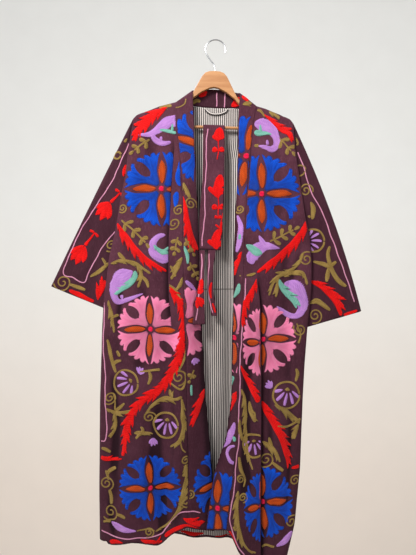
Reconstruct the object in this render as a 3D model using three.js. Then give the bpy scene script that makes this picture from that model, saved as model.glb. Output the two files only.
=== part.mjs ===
// A long open-front suzani kimono jacket with its own sash, hung on a flat wooden hanger.
//
// Millimetres, +Z up. The front faces -Y, and left and right are as seen from the front: left is -X.
// The origin is the underside of the hook's crown, where a rod or a wall hook holds it.
//
// Every cloth piece is a closed wall of one thickness. Its outer face is a surface worked out from the
// outline tables below, row by row from the shoulder to the hem, and its inner face lies one wall
// inside it, along the normals.
import * as THREE from 'three';

// ---- Driving sizes ----------------------------------------------------------------------------------
const CLOTH = 2.0; // embroidered cotton, stitches and all
const LINING = 1.0; // thin striped cotton
const SEAM = 0.3; // between two pieces that are sewn together
const HALF_RIDGE = 0.2; // half the gap along the shoulder seam
const RIDGE_ROLL = 14; // how far below the shoulder line the cloth has turned to hang down
const SIDE_ROLL = 26; // width of the rounded stretch beside a side edge
const SLEEVE_HALF = 8; // half the depth of a flattened sleeve
const SLEEVE_GAP = 1.9; // between a sleeve and the body cloth that folds over it

// ---- Outlines, a row for each height ------------------------------------------------------------------
// outer: the side edge seen from the front. seam: where the front meets its band.
// edge: the band's free edge, with its depth. tuck: how far the cloth turns in behind the side edge.
const LEFT = {
  out: -1,
  tip: { x: -220, z: -209 },
  shoulder: [{ x: -107, z: -167 }, { x: -150, z: -178 }, { x: -196, z: -196 }, { x: -220, z: -209 }],
  outer: [
    { z: -209, x: -220 }, { z: -285, x: -233 }, { z: -362, x: -241 }, { z: -410, x: -251 },
    { z: -514, x: -268 }, { z: -586, x: -285 }, { z: -700, x: -299 }, { z: -807, x: -305 },
    { z: -962, x: -310 }, { z: -1222, x: -312 }, { z: -1355, x: -310 },
  ],
  seam: [
    { z: -167, x: -107 }, { z: -249, x: -104 }, { z: -352, x: -92 }, { z: -425, x: -88 },
    { z: -541, x: -86 }, { z: -673, x: -84 }, { z: -803, x: -78 }, { z: -947, x: -75 },
    { z: -1187, x: -70 }, { z: -1300, x: -74 },
  ],
  edge: [
    { z: -135, x: -62, y: -9 }, { z: -198, x: -59, y: -13 }, { z: -273, x: -56, y: -15 },
    { z: -380, x: -52, y: -14 }, { z: -486, x: -46, y: -10 }, { z: -588, x: -43, y: -6 },
    { z: -700, x: -42, y: -5 }, { z: -821, x: -34, y: -8 }, { z: -955, x: -27, y: -10 },
    { z: -1074, x: -16, y: -12 }, { z: -1199, x: -6, y: -14 }, { z: -1316, x: -4, y: -16 },
  ],
  crest: [{ z: -200, y: 0 }, { z: -380, y: 4 }, { z: -560, y: 7 }, { z: -760, y: 6 }, { z: -1300, y: 3 }],
  tuck: [
    { z: -269, d: 0 }, { z: -480, d: 52 }, { z: -540, d: 60 }, { z: -748, d: 56 },
    { z: -830, d: 8 }, { z: -1355, d: 6 },
  ],
  hem: [
    { x: -310, z: -1334 }, { x: -294, z: -1343 }, { x: -270, z: -1347 }, { x: -221, z: -1334 },
    { x: -147, z: -1341 }, { x: -117, z: -1313 }, { x: -75, z: -1293 }, { x: -4, z: -1316 },
  ],
  creases: [
    { recedes: -1, depth: 14, reach: 36, path: [
      { z: -250, x: -106 }, { z: -369, x: -115 }, { z: -528, x: -123 }, { z: -673, x: -124 },
      { z: -790, x: -112 },
    ] },
  ],
  folds: [
    { depth: -7, width: 20, path: [{ z: -760, x: -100 }, { z: -960, x: -92 }, { z: -1200, x: -96 }] },
    { depth: 5, width: 24, path: [{ z: -940, x: -150 }, { z: -1100, x: -158 }, { z: -1330, x: -132 }] },
    { depth: -5, width: 34, path: [{ z: -1050, x: -225 }, { z: -1230, x: -232 }, { z: -1400, x: -240 }] },
    { depth: 4, width: 26, path: [{ z: -560, x: -200 }, { z: -760, x: -190 }, { z: -930, x: -205 }] },
    { depth: 4, width: 30, path: [{ z: -240, x: -170 }, { z: -400, x: -180 }, { z: -520, x: -190 }] },
  ],
  sleeve: {
    underarm: { x: -231, z: -517 }, cuffTop: { x: -443, z: -663 }, cuffLow: { x: -266, z: -736 }, bow: 2,
  },
};
const RIGHT = {
  out: 1,
  tip: { x: 207, z: -220 },
  shoulder: [{ x: 112, z: -178 }, { x: 136, z: -185 }, { x: 174, z: -201 }, { x: 207, z: -220 }],
  outer: [
    { z: -220, x: 207 }, { z: -336, x: 219 }, { z: -418, x: 232 }, { z: -479, x: 240 },
    { z: -530, x: 253 }, { z: -596, x: 257 }, { z: -676, x: 256 }, { z: -777, x: 245 },
    { z: -860, x: 239 }, { z: -962, x: 234 }, { z: -1152, x: 227 }, { z: -1222, x: 220 },
    { z: -1299, x: 212 }, { z: -1363, x: 196 }, { z: -1414, x: 184 },
  ],
  seam: [
    { z: -178, x: 112 }, { z: -214, x: 103 }, { z: -306, x: 94 }, { z: -430, x: 82 },
    { z: -542, x: 77 }, { z: -699, x: 70 }, { z: -803, x: 61 }, { z: -946, x: 57 },
    { z: -1063, x: 55 }, { z: -1170, x: 45 }, { z: -1274, x: 32 }, { z: -1310, x: 28 },
  ],
  edge: [
    { z: -142, x: 66, y: -9 }, { z: -206, x: 61, y: -13 }, { z: -278, x: 60, y: -15 },
    { z: -380, x: 57, y: -15 }, { z: -486, x: 52, y: -13 }, { z: -593, x: 48, y: -11 },
    { z: -700, x: 47, y: -12 }, { z: -780, x: 45, y: -14 }, { z: -965, x: 41, y: -20 },
    { z: -1064, x: 27, y: -27 }, { z: -1152, x: -4, y: -33 }, { z: -1243, x: -18, y: -34 },
    { z: -1304, x: -26, y: -34 },
  ],
  crest: [{ z: -200, y: 0 }, { z: -380, y: 4 }, { z: -560, y: 6 }, { z: -800, y: 5 }, { z: -1300, y: 1 }],
  tuck: [
    { z: -280, d: 0 }, { z: -490, d: 54 }, { z: -550, d: 62 }, { z: -796, d: 56 },
    { z: -880, d: 8 }, { z: -1414, d: 6 },
  ],
  hem: [
    { x: -26, z: -1304 }, { x: 29, z: -1300 }, { x: 48, z: -1327 }, { x: 61, z: -1359 },
    { x: 89, z: -1382 }, { x: 128, z: -1396 }, { x: 171, z: -1402 }, { x: 184, z: -1396 },
  ],
  creases: [
    { recedes: 1, depth: 12, reach: 34, path: [
      { z: -620, x: 106 }, { z: -714, x: 117 }, { z: -900, x: 119 }, { z: -1500, x: 118 },
    ] },
  ],
  folds: [
    { depth: 5, width: 14, path: [{ z: -780, x: 86 }, { z: -1000, x: 84 }, { z: -1240, x: 78 }] },
    { depth: -5, width: 26, path: [{ z: -900, x: 170 }, { z: -1100, x: 172 }, { z: -1440, x: 160 }] },
    { depth: 4, width: 26, path: [{ z: -520, x: 190 }, { z: -680, x: 180 }, { z: -820, x: 190 }] },
    { depth: 4, width: 28, path: [{ z: -250, x: 160 }, { z: -400, x: 165 }, { z: -540, x: 170 }] },
  ],
  sleeve: {
    underarm: { x: 216, z: -530 }, cuffTop: { x: 393, z: -730 }, cuffLow: { x: 216, z: -782 }, bow: 14,
  },
};

// Depth of the fronts' broad face and of the cloth beside the side edge, towards the front.
const FACE = [
  { z: -180, y: 10 }, { z: -260, y: 14 }, { z: -350, y: 20 }, { z: -430, y: 26 }, { z: -540, y: 33 },
  { z: -700, y: 38 }, { z: -830, y: 40 }, { z: -1400, y: 41 },
];
const SIDE = [
  { z: -222, y: 10 }, { z: -240, y: 12 }, { z: -275, y: 16 }, { z: -360, y: 21 }, { z: -800, y: 22 },
  { z: -1400, y: 24 },
];
// Depth of the back's broad face, behind the hanger.
const BACK_FACE = [
  { z: -180, y: 15.5 }, { z: -300, y: 16 }, { z: -420, y: 17 }, { z: -700, y: 19 }, { z: -1400, y: 20 },
];
const BACK_HEM = [
  { x: -310, z: -1347 }, { x: -121, z: -1340 }, { x: -37, z: -1346 }, { x: 43, z: -1352 },
  { x: 184, z: -1388 },
];
const BACK_FOLDS = [
  { depth: 6, width: 22, path: [{ z: -330, x: -120 }, { z: -700, x: -138 }, { z: -1300, x: -150 }] },
  { depth: -6, width: 26, path: [{ z: -420, x: -40 }, { z: -800, x: -52 }, { z: -1500, x: -60 }] },
  { depth: 7, width: 20, path: [{ z: -260, x: 30 }, { z: -760, x: 42 }, { z: -1500, x: 36 }] },
  { depth: -5, width: 24, path: [{ z: -560, x: 118 }, { z: -900, x: 122 }, { z: -1500, x: 110 }] },
  { depth: 5, width: 26, path: [{ z: -800, x: -228 }, { z: -1050, x: -235 }, { z: -1500, x: -240 }] },
];
// The neck band, from the left shoulder line round the back to the right one.
const NECK = [
  { seamX: -107, seamY: 0.2, seamZ: -167, edgeX: -62, edgeY: 0.2, edgeZ: -135 },
  { seamX: -86, seamY: 10, seamZ: -170, edgeX: -54, edgeY: 9, edgeZ: -131 },
  { seamX: -42, seamY: 15, seamZ: -175, edgeX: -34, edgeY: 12, edgeZ: -129 },
  { seamX: 0, seamY: 15.5, seamZ: -178, edgeX: 0, edgeY: 13, edgeZ: -128 },
  { seamX: 43, seamY: 15, seamZ: -178, edgeX: 37, edgeY: 12, edgeZ: -132 },
  { seamX: 86, seamY: 10, seamZ: -180, edgeX: 58, edgeY: 9, edgeZ: -138 },
  { seamX: 112, seamY: 0.2, seamZ: -178, edgeX: 66, edgeY: 0.2, edgeZ: -142 },
];

// The sash: its left and right edges at each height, with the depth of each edge where it twists.
const BELT = [
  { z: -232, left: -33, right: 25 }, { z: -378, left: -35, right: 24 }, { z: -472, left: -43, right: 20 },
  { z: -566, left: -43, right: 15 },
];
const BELT_CLEAR = 0.6; // between the sash and the bar that it hangs over
const BELT_WALL = 2;
const TAIL_LEFT = [
  { z: -566.6, leftX: -43, leftY: -9, rightX: -28, rightY: -9 },
  { z: -600, leftX: -42, leftY: -11, rightX: -31, rightY: -19 },
  { z: -660, leftX: -46, leftY: -17, rightX: -31, rightY: -26 },
  { z: -712, leftX: -56, leftY: -31, rightX: -29, rightY: -25 },
  { z: -764, leftX: -60, leftY: -35, rightX: -28, rightY: -24 },
];
const TAIL_RIGHT = [
  { z: -566.6, leftX: -20, leftY: -8, rightX: 1, rightY: -8 },
  { z: -620, leftX: -23, leftY: -5, rightX: -7, rightY: -11 },
  { z: -680, leftX: -20, leftY: -4, rightX: -6, rightY: -12 },
  { z: -743, leftX: -10, leftY: -7, rightX: 4, rightY: -10 },
];

// The hanger, about its own middle line: half the wood's outline, top edge then underside.
const HANGER_X = -2;
const HANGER_TILT = 1.8 * Math.PI / 180; // the right arm hangs lower
const WOOD_THICK = 11;
const WOOD_TOP = [
  [0, -84], [14, -85], [25, -89], [34, -99], [46, -122], [60, -149], [72, -164], [92, -177], [125, -191],
  [170, -210], [200, -226],
];
const WOOD_UNDER = [
  [206, -236], [203, -246], [192, -247], [187, -239], [186, -231], [165, -223], [115, -204], [80, -186],
  [57, -159], [35, -142], [12, -130], [0, -128],
];
const BAR_R = 4;
const BAR_HALF = 186;
const BAR_Z = -235;
const WIRE_R = 1.75;
const HOOK_R = 27; // of the wire's middle line

// ---- Small helpers --------------------------------------------------------------------------------------
const mix = (a, b, t) => a + (b - a) * t;
const clamp = (v, low = 0, high = 1) => Math.min(high, Math.max(low, v));
const smooth = (t) => clamp(t) ** 2 * (3 - 2 * clamp(t));
const steps = (n) => Array.from({ length: n + 1 }, (_, k) => k / n);
const arc = (t) => Math.sqrt(1 - (1 - clamp(t)) ** 2);

/** A column of a table at a place between its rows. */
function lookUp(table, key, place, column) {
  const rising = table[table.length - 1][key] > table[0][key] ? 1 : -1;
  const at = table.findIndex((row) => (row[key] - place) * rising >= 0);
  if (at === 0) return table[0][column];
  if (at < 0) return table[table.length - 1][column];
  const [a, b] = [table[at - 1], table[at]];
  return mix(a[column], b[column], (place - a[key]) / (b[key] - a[key]));
}

/** How deep the creases and soft folds lie at a point of a panel, away from its outer side. */
function foldDepth({ creases = [], folds = [] }, x, z) {
  const fade = (path) => smooth((path[0].z - z) / 70) * smooth((z - path[path.length - 1].z) / 70);
  let depth = 0;
  for (const { recedes, depth: deep, reach, path } of creases) {
    const away = (x - lookUp(path, 'z', z, 'x')) * recedes;
    if (away > 0) depth += deep * fade(path) * smooth(away / 7) * Math.exp(-away / reach);
  }
  for (const { depth: deep, width, path } of folds) {
    const away = (x - lookUp(path, 'z', z, 'x')) / width;
    depth += deep * fade(path) * Math.exp(-away * away);
  }
  return depth;
}

/** Unit normals of a grid of points, on the side that `facing` points to at the grid's middle. */
function gridNormals(grid, facing, around = false) {
  const [rows, columns] = [grid.length, grid[0].length];
  const normals = grid.map((row, i) => row.map((_, j) => {
    const down = grid[Math.min(i + 1, rows - 1)][j].clone().sub(grid[Math.max(i - 1, 0)][j]);
    const next = around ? row[(j + 1) % columns] : row[Math.min(j + 1, columns - 1)];
    const last = around ? row[(j + columns - 1) % columns] : row[Math.max(j - 1, 0)];
    return down.cross(next.clone().sub(last)).normalize();
  }));
  const middle = normals[rows >> 1][around ? columns >> 2 : columns >> 1];
  if (middle.dot(facing) < 0) normals.flat().forEach((n) => n.negate());
  return normals;
}

/** A closed wall on a grid of outer points, or a tube with open ends where the rows run around. */
function wall(outer, normals, thickness, around = false) {
  const inner = outer.map((row, i) => row.map((p, j) => p.clone().addScaledVector(normals[i][j], -thickness)));
  const [rows, columns] = [outer.length, outer[0].length];
  const points = [...outer.flat(), ...inner.flat()];
  const at = (i, j, layer) => layer * rows * columns + i * columns + (j % columns);
  const faces = [];
  const quad = (a, b, c, d) => faces.push(a, b, c, a, c, d);
  const spans = around ? columns : columns - 1;
  for (let i = 0; i < rows - 1; i += 1) {
    for (let j = 0; j < spans; j += 1) {
      quad(at(i, j, 0), at(i + 1, j, 0), at(i + 1, j + 1, 0), at(i, j + 1, 0));
      quad(at(i, j, 1), at(i, j + 1, 1), at(i + 1, j + 1, 1), at(i + 1, j, 1));
    }
  }
  for (let j = 0; j < spans; j += 1) {
    quad(at(0, j, 0), at(0, j + 1, 0), at(0, j + 1, 1), at(0, j, 1));
    quad(at(rows - 1, j, 0), at(rows - 1, j, 1), at(rows - 1, j + 1, 1), at(rows - 1, j + 1, 0));
  }
  for (let i = 0; i < rows - 1 && !around; i += 1) {
    quad(at(i, 0, 0), at(i, 0, 1), at(i + 1, 0, 1), at(i + 1, 0, 0));
    quad(at(i, columns - 1, 0), at(i + 1, columns - 1, 0), at(i + 1, columns - 1, 1), at(i, columns - 1, 1));
  }
  let volume = 0;
  for (let k = 0; k < faces.length; k += 3) {
    const [a, b, c] = faces.slice(k, k + 3).map((index) => points[index]);
    volume += a.dot(b.clone().cross(c));
  }
  if (volume < 0) faces.reverse();
  const geometry = new THREE.BufferGeometry();
  geometry.setAttribute('position', new THREE.Float32BufferAttribute(points.flatMap((p) => p.toArray()), 3));
  geometry.setIndex(faces);
  geometry.computeVertexNormals();
  return geometry;
}

// ---- The body: fronts, bands and back ----------------------------------------------------------------
const HEM_TURN = 0.988; // the lining stops here, where the back's hem is turned up
const ROWS = [0, 0.003, 0.008, 0.016, 0.03, 0.05, 0.08, ...steps(14).slice(1, -1).map((t) => mix(0.08, 1, t)), HEM_TURN, 1];
const BAND_COLUMNS = 4;
const FRONT_COLUMNS = 15;
const TAIL_COLUMNS = 8;

const tuckAt = (side, z) => lookUp(side.tuck, 'z', z, 'd');
const outerAt = (side, z) => lookUp(side.outer, 'z', z, 'x');
/** Half the depth of the sleeve at its root, some way below the shoulder tip. */
const rootHalf = (below) => SLEEVE_HALF * arc(below / 20);

/** The cloth beside a side edge, seen from above: round the edge, then in behind it to the seam. */
function tailPoint(side, z, along, face, rolled) {
  const tuck = tuckAt(side, z);
  const behind = clamp(tuck / 10);
  const [sleeveEnds, tuckOver] = side.tuck.slice(3, 5).map((row) => row.z);
  const below = side.tip.z - z;
  const beside = mix(rootHalf(below) + SLEEVE_GAP, 0.9, smooth((sleeveEnds - z) / (sleeveEnds - tuckOver)));
  const end = mix(beside, 0.4, smooth((side.sleeve.underarm.z - 8 - z) / 30));
  const path = [
    [SIDE_ROLL, face],
    [0.45 * SIDE_ROLL, mix(face, beside, 0.06)],
    [mix(0.12, 0.02, behind) * SIDE_ROLL, mix(face, beside, mix(0.35, 0.45, behind))],
    [mix(0.04 * SIDE_ROLL, Math.min(9, 0.4 * tuck), behind), mix(face, beside, mix(0.7, 1, behind))],
    [mix(0.01 * SIDE_ROLL, Math.max(0.7 * tuck, tuck - 8), behind), mix(face, beside, mix(0.88, 1, behind))],
    [tuck, mix(beside, end, behind)],
  ].map(([inward, depth], k) => new THREE.Vector3(
    mix(SIDE_ROLL * (1 - k / 5), inward, rolled), mix(HALF_RIDGE, depth, rolled), 0));
  const { x: inward, y: depth } = new THREE.CatmullRomCurve3(path).getPoint(along);
  return new THREE.Vector3(outerAt(side, z) - side.out * inward, depth, z);
}

/** Rows of points from the shoulder line to the hem, for a front with its band. Depth is towards -Y. */
function frontGrid(side) {
  const inner = (z) => outerAt(side, z) - side.out * SIDE_ROLL;
  const faceAt = (x, z, across) => {
    const broad = mix(lookUp(FACE, 'z', z, 'y'), lookUp(SIDE, 'z', z, 'y'), smooth((across - 0.4) / 0.6));
    return broad - foldDepth(side, x, z);
  };
  const [seamTop, tip] = [side.shoulder[0], side.tip];
  const edgeTop = side.edge[0];
  const bottom = side.edge[side.edge.length - 1];
  return ROWS.map((v) => {
    const row = [];
    for (const t of steps(BAND_COLUMNS)) {
      const top = mix(edgeTop.z, seamTop.z, t);
      const z = mix(top, mix(bottom.z, lookUp(side.hem, 'x', side.seam.at(-1).x, 'z'), t), v);
      const rolled = arc((top - z) / RIDGE_ROLL);
      const seamX = lookUp(side.seam, 'z', z, 'x');
      const x = mix(lookUp(side.edge, 'z', z, 'x'), seamX, t);
      const crest = lookUp(side.crest, 'z', z, 'y') * Math.sin(Math.PI * t ** 1.6);
      const y = mix(-lookUp(side.edge, 'z', z, 'y'), faceAt(seamX, z, 0), t) + crest;
      row.push(new THREE.Vector3(x, -mix(HALF_RIDGE, y, rolled), z));
    }
    for (const u of steps(FRONT_COLUMNS).slice(1)) {
      const topX = mix(seamTop.x, tip.x - side.out * SIDE_ROLL, u);
      const top = lookUp(side.shoulder, 'x', topX, 'z');
      const hemX = mix(side.seam.at(-1).x, inner(side.hem[0].z), u);
      const z = mix(top, lookUp(side.hem, 'x', hemX, 'z'), v);
      const x = mix(lookUp(side.seam, 'z', z, 'x'), inner(z), u);
      const rolled = arc((top - z) / RIDGE_ROLL);
      row.push(new THREE.Vector3(x, -mix(HALF_RIDGE, faceAt(x, z, u), rolled), z));
    }
    for (const s of steps(TAIL_COLUMNS).slice(1)) {
      const topX = tip.x - side.out * SIDE_ROLL * (1 - s);
      const top = lookUp(side.shoulder, 'x', topX, 'z');
      const z = mix(top, lookUp(side.hem, 'x', outerAt(side, -1300) - side.out * 8 * (1 - s), 'z'), v);
      const rolled = arc((top - z) / RIDGE_ROLL);
      const point = tailPoint(side, z, s, faceAt(inner(z), z, 1), rolled);
      row.push(point.setY(-point.y));
    }
    return row;
  });
}

/** Rows of points for the back, from its left side seam to its right one. Depth is towards +Y. */
function backGrid() {
  const seams = NECK.map(({ seamX, seamY, seamZ }) => ({ x: seamX, y: seamY, z: seamZ - SEAM - 0.4 }));
  const shoulders = [
    ...LEFT.shoulder.slice(1).reverse().map((p) => ({ ...p, y: HALF_RIDGE })),
    ...seams,
    ...RIGHT.shoulder.slice(1).map((p) => ({ ...p, y: HALF_RIDGE })),
  ];
  const innerOf = (side, z) => outerAt(side, z) - side.out * SIDE_ROLL;
  const faceAt = (x, z, across) => {
    const edge = smooth((Math.abs(across - 0.5) - 0.28) / 0.22);
    const broad = mix(lookUp(BACK_FACE, 'z', z, 'y'), lookUp(SIDE, 'z', z, 'y'), edge);
    return broad + foldDepth({ folds: BACK_FOLDS }, x, z) * (1 - edge);
  };
  const tail = (side, s, v) => {
    const topX = side.tip.x - side.out * SIDE_ROLL * (1 - s);
    const top = lookUp(shoulders, 'x', topX, 'z');
    const z = mix(top, lookUp(BACK_HEM, 'x', outerAt(side, -1300), 'z'), v);
    const rolled = arc((top - z) / RIDGE_ROLL);
    return tailPoint(side, z, s, faceAt(innerOf(side, z), z, side.out < 0 ? 0 : 1), rolled);
  };
  const columns = 16;
  return ROWS.map((v) => {
    const row = steps(TAIL_COLUMNS).slice(1).reverse().map((s) => tail(LEFT, s, v));
    for (const u of steps(columns)) {
      const topX = mix(LEFT.tip.x + SIDE_ROLL, RIGHT.tip.x - SIDE_ROLL, u);
      const top = lookUp(shoulders, 'x', topX, 'z');
      const hemX = mix(innerOf(LEFT, -1300), innerOf(RIGHT, -1300), u);
      const z = mix(top, lookUp(BACK_HEM, 'x', hemX, 'z'), v);
      const x = mix(innerOf(LEFT, z), innerOf(RIGHT, z), u);
      const rolled = arc((top - z) / RIDGE_ROLL);
      row.push(new THREE.Vector3(x, mix(lookUp(shoulders, 'x', topX, 'y'), faceAt(x, z, u), rolled), z));
    }
    return [...row, ...steps(TAIL_COLUMNS).slice(1).map((s) => tail(RIGHT, s, v))];
  });
}

/** Along the shoulder seam both pieces' rims meet flat, so their normals there point straight up. */
function squareTop(grid, normals, columns) {
  for (const j of columns) {
    const [a, b] = [grid[0][Math.max(j - 1, columns[0])], grid[0][Math.min(j + 1, columns.at(-1))]];
    const along = b.clone().sub(a).setY(0).normalize();
    normals[0][j] = new THREE.Vector3(-along.z, 0, along.x);
    if (normals[0][j].z < 0) normals[0][j].negate();
  }
}

/** Cuts columns out of a grid, and draws the cut column back by half a seam. */
function cutColumns(grid, normals, from, to, seamAt) {
  const cut = grid.map((row, i) => row.slice(from, to + 1).map((p, k) => {
    if (from + k !== seamAt) return p.clone();
    const inside = row[seamAt + (seamAt === to ? -1 : 1)].clone().sub(p).normalize();
    return p.clone().addScaledVector(inside, SEAM / 2);
  }));
  return [cut, normals.map((row) => row.slice(from, to + 1))];
}

const TOWARDS_FRONT = new THREE.Vector3(0, -1, 0);
const TOWARDS_BACK = new THREE.Vector3(0, 1, 0);

function frontAndBand(side) {
  const grid = frontGrid(side);
  const normals = gridNormals(grid, TOWARDS_FRONT);
  const last = grid[0].length - 1;
  squareTop(grid, normals, Array.from({ length: last + 1 }, (_, j) => j));
  normals.forEach((row, i) => { if (i > 4) row[last] = TOWARDS_BACK.clone(); });
  return {
    band: wall(...cutColumns(grid, normals, 0, BAND_COLUMNS, BAND_COLUMNS), CLOTH),
    front: wall(...cutColumns(grid, normals, BAND_COLUMNS, last, BAND_COLUMNS), CLOTH),
  };
}

function backAndLining() {
  const grid = backGrid();
  const normals = gridNormals(grid, TOWARDS_BACK);
  const last = grid[0].length - 1;
  const overShoulder = (j) => grid[0][j].x < LEFT.shoulder[0].x || grid[0][j].x > RIGHT.shoulder[0].x;
  const columns = Array.from({ length: last + 1 }, (_, j) => j);
  squareTop(grid, normals, columns.filter((j) => overShoulder(j) && grid[0][j].x < 0));
  squareTop(grid, normals, columns.filter((j) => overShoulder(j) && grid[0][j].x > 0));
  normals.forEach((row, i) => {
    if (i > 4) {
      row[0] = TOWARDS_FRONT.clone();
      row[last] = TOWARDS_FRONT.clone();
    }
  });
  const inside = (i, j) => grid[i][j].clone().addScaledVector(normals[i][j], -CLOTH - SEAM);
  const [from, to] = [TAIL_COLUMNS + 1, last - TAIL_COLUMNS - 1];
  const rows = grid.length;
  const lining = [];
  for (let i = 4; i < rows - 1; i += 1) {
    lining.push(columns.slice(from, to + 1).map((j) => inside(i === 4 && !overShoulder(j) ? 1 : i, j)));
  }
  const liningNormals = normals.slice(4, -1).map((row) => row.slice(from, to + 1));
  return { back: wall(grid, normals, CLOTH), lining: wall(lining, liningNormals, LINING) };
}

function neckBand() {
  const columns = steps(14);
  const curve = (name) => new THREE.CatmullRomCurve3(
    NECK.map((row) => new THREE.Vector3(row[`${name}X`], row[`${name}Y`], row[`${name}Z`])));
  const [seam, edge] = [curve('seam'), curve('edge')];
  const grid = steps(2).map((w) => columns.map((s) => seam.getPoint(s).lerp(edge.getPoint(s), w)));
  const normals = gridNormals(grid, TOWARDS_BACK);
  for (const j of [0, columns.length - 1]) {
    const across = grid[2][j].clone().sub(grid[0][j]).setY(0).normalize();
    const up = new THREE.Vector3(-across.z, 0, across.x);
    normals.forEach((row) => { row[j] = up.z < 0 ? up.clone().negate() : up.clone(); });
  }
  return wall(grid, normals, CLOTH);
}

// ---- Sleeves --------------------------------------------------------------------------------------------
const AROUND = [0, 0.015, 0.05, 0.12, 0.25, 0.4, 0.55, 0.7, 0.85, 0.94, 0.985, 1];

function sleeve(side) {
  const { underarm, cuffTop, cuffLow, bow } = side.sleeve;
  const rootTop = { x: side.tip.x + side.out * 2.5, z: side.tip.z - 4 };
  const point = (t, w, face) => {
    const rootZ = mix(rootTop.z, underarm.z, w);
    const rootX = w < 1 ? outerAt(side, rootZ) + side.out * (2.2 - 0.85 * tuckAt(side, rootZ)) : underarm.x;
    const bulge = side.out * bow * 4 * t * (1 - t) * (1 - w) ** 2;
    const x = mix(w > 0 ? rootX : rootTop.x, mix(cuffTop.x, cuffLow.x, w), t) + bulge;
    const z = mix(rootZ, mix(cuffTop.z, cuffLow.z, w), t);
    const width = mix(rootTop.z - underarm.z, 190, t);
    const round = arc(w * width / 20) * arc((1 - w) * width / 20);
    const free = t * (1 - smooth(w / 0.6));
    const drape = 2.2 * Math.sin(Math.PI * (4.2 * w + 0.9 * t)) * t * (1 - smooth(w / 0.62));
    return new THREE.Vector3(x, face * (SLEEVE_HALF + 4 * free + drape) * round, z);
  };
  const grid = steps(9).map((t) => [
    ...AROUND.map((w) => point(t, w, -1)),
    ...AROUND.slice(1, -1).reverse().map((w) => point(t, w, 1)),
  ]);
  return wall(grid, gridNormals(grid, TOWARDS_FRONT, true), CLOTH, true);
}

// ---- Sash, loop and hanger --------------------------------------------------------------------------------
function belt() {
  const radius = BAR_R + BELT_CLEAR + BELT_WALL;
  const beltBar = { y: 0, z: BAR_Z };
  const run = (face) => [-0.12, -0.3, -0.5, -0.75, -1].map((share) => ({
    y: face * radius * 1.02, z: mix(beltBar.z, BELT.at(-1).z, -share) }));
  const over = steps(8).map((s) => ({
    y: -radius * Math.cos(Math.PI * s), z: beltBar.z + radius * Math.sin(Math.PI * s) }));
  const path = [...run(-1).reverse(), ...over, ...run(1)];
  const grid = path.map(({ y, z }) => steps(5).map((t) => {
    const left = lookUp(BELT, 'z', z, 'left');
    const right = lookUp(BELT, 'z', z, 'right');
    const x = mix(left, right, t);
    return new THREE.Vector3(x, y, z - (x - HANGER_X) * Math.tan(HANGER_TILT));
  }));
  const normals = gridNormals(grid, new THREE.Vector3(0, 0, 1));
  return wall(grid, normals, BELT_WALL);
}

function ribbon(rows) {
  const curve = (name) => new THREE.CatmullRomCurve3(
    rows.map((row) => new THREE.Vector3(row[`${name}X`], row[`${name}Y`], row.z)));
  const [left, right] = [curve('left'), curve('right')];
  const grid = steps(12).map((s) => steps(2).map((t) => left.getPoint(s).lerp(right.getPoint(s), t)));
  return wall(grid, gridNormals(grid, TOWARDS_FRONT), BELT_WALL);
}

function hangingLoop() {
  const path = new THREE.CatmullRomCurve3([
    [-28, -181], [-20, -190], [-8, -195], [4, -196], [16, -194], [27, -189], [34, -181],
  ].map(([x, z]) => new THREE.Vector3(x, 9.6, z)));
  const strip = new THREE.Shape([[-0.6, -3], [0.6, -3], [0.6, 3], [-0.6, 3]].map((p) => new THREE.Vector2(...p)));
  return new THREE.ExtrudeGeometry(strip, { steps: 16, extrudePath: path });
}

function hangerBody() {
  const mirrored = (points) => points.map(([x, z]) => [-x, z]);
  const outline = [
    ...WOOD_TOP, ...WOOD_UNDER.slice(0, -1), [0, -128], ...mirrored(WOOD_UNDER.slice(0, -1)).reverse(),
    ...mirrored(WOOD_TOP.slice(1)).reverse(),
  ].map((p) => new THREE.Vector2(...p));
  const bevel = 1.5;
  const geometry = new THREE.ExtrudeGeometry(new THREE.Shape(outline), {
    depth: WOOD_THICK - 2 * bevel, bevelThickness: bevel, bevelSize: bevel, bevelOffset: -bevel, bevelSegments: 2,
  });
  geometry.translate(0, 0, bevel - WOOD_THICK / 2);
  return geometry.rotateX(Math.PI / 2);
}

function hook() {
  const crown = WIRE_R - HOOK_R;
  const turn = (degrees) => {
    const angle = degrees * Math.PI / 180;
    return new THREE.Vector3(HOOK_R * Math.cos(angle), 0, crown + HOOK_R * Math.sin(angle));
  };
  const points = [-18, 0, 22, 45, 68, 90, 112, 135, 158, 180, 200].map(turn);
  points.push(new THREE.Vector3(-14, 0, -53), new THREE.Vector3(-4, 0, -66));
  points.push(new THREE.Vector3(HANGER_X, 0, -74), new THREE.Vector3(HANGER_X, 0, -83.4));
  const section = new THREE.Shape(steps(9).map((k) => {
    const angle = k * 0.9 * 2 * Math.PI;
    return new THREE.Vector2(WIRE_R * Math.cos(angle), WIRE_R * Math.sin(angle));
  }));
  return new THREE.ExtrudeGeometry(section, { steps: 32, extrudePath: new THREE.CatmullRomCurve3(points) });
}

// ---- The model --------------------------------------------------------------------------------------------
const group = new THREE.Group();
const finish = (color, roughness, metalness = 0) => ({ color, roughness, metalness });
const PLUM = finish(0x5a3a48, 0.9);
const STRIPED = finish(0x8a8580, 0.85);
const WOOD = finish(0xd9a468, 0.45);
const STEEL = finish(0xb8bcc0, 0.25, 1);

function add(parent, name, geometry, look) {
  const mesh = new THREE.Mesh(geometry, new THREE.MeshStandardMaterial(look));
  mesh.name = name;
  parent.add(mesh);
  return mesh;
}

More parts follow.
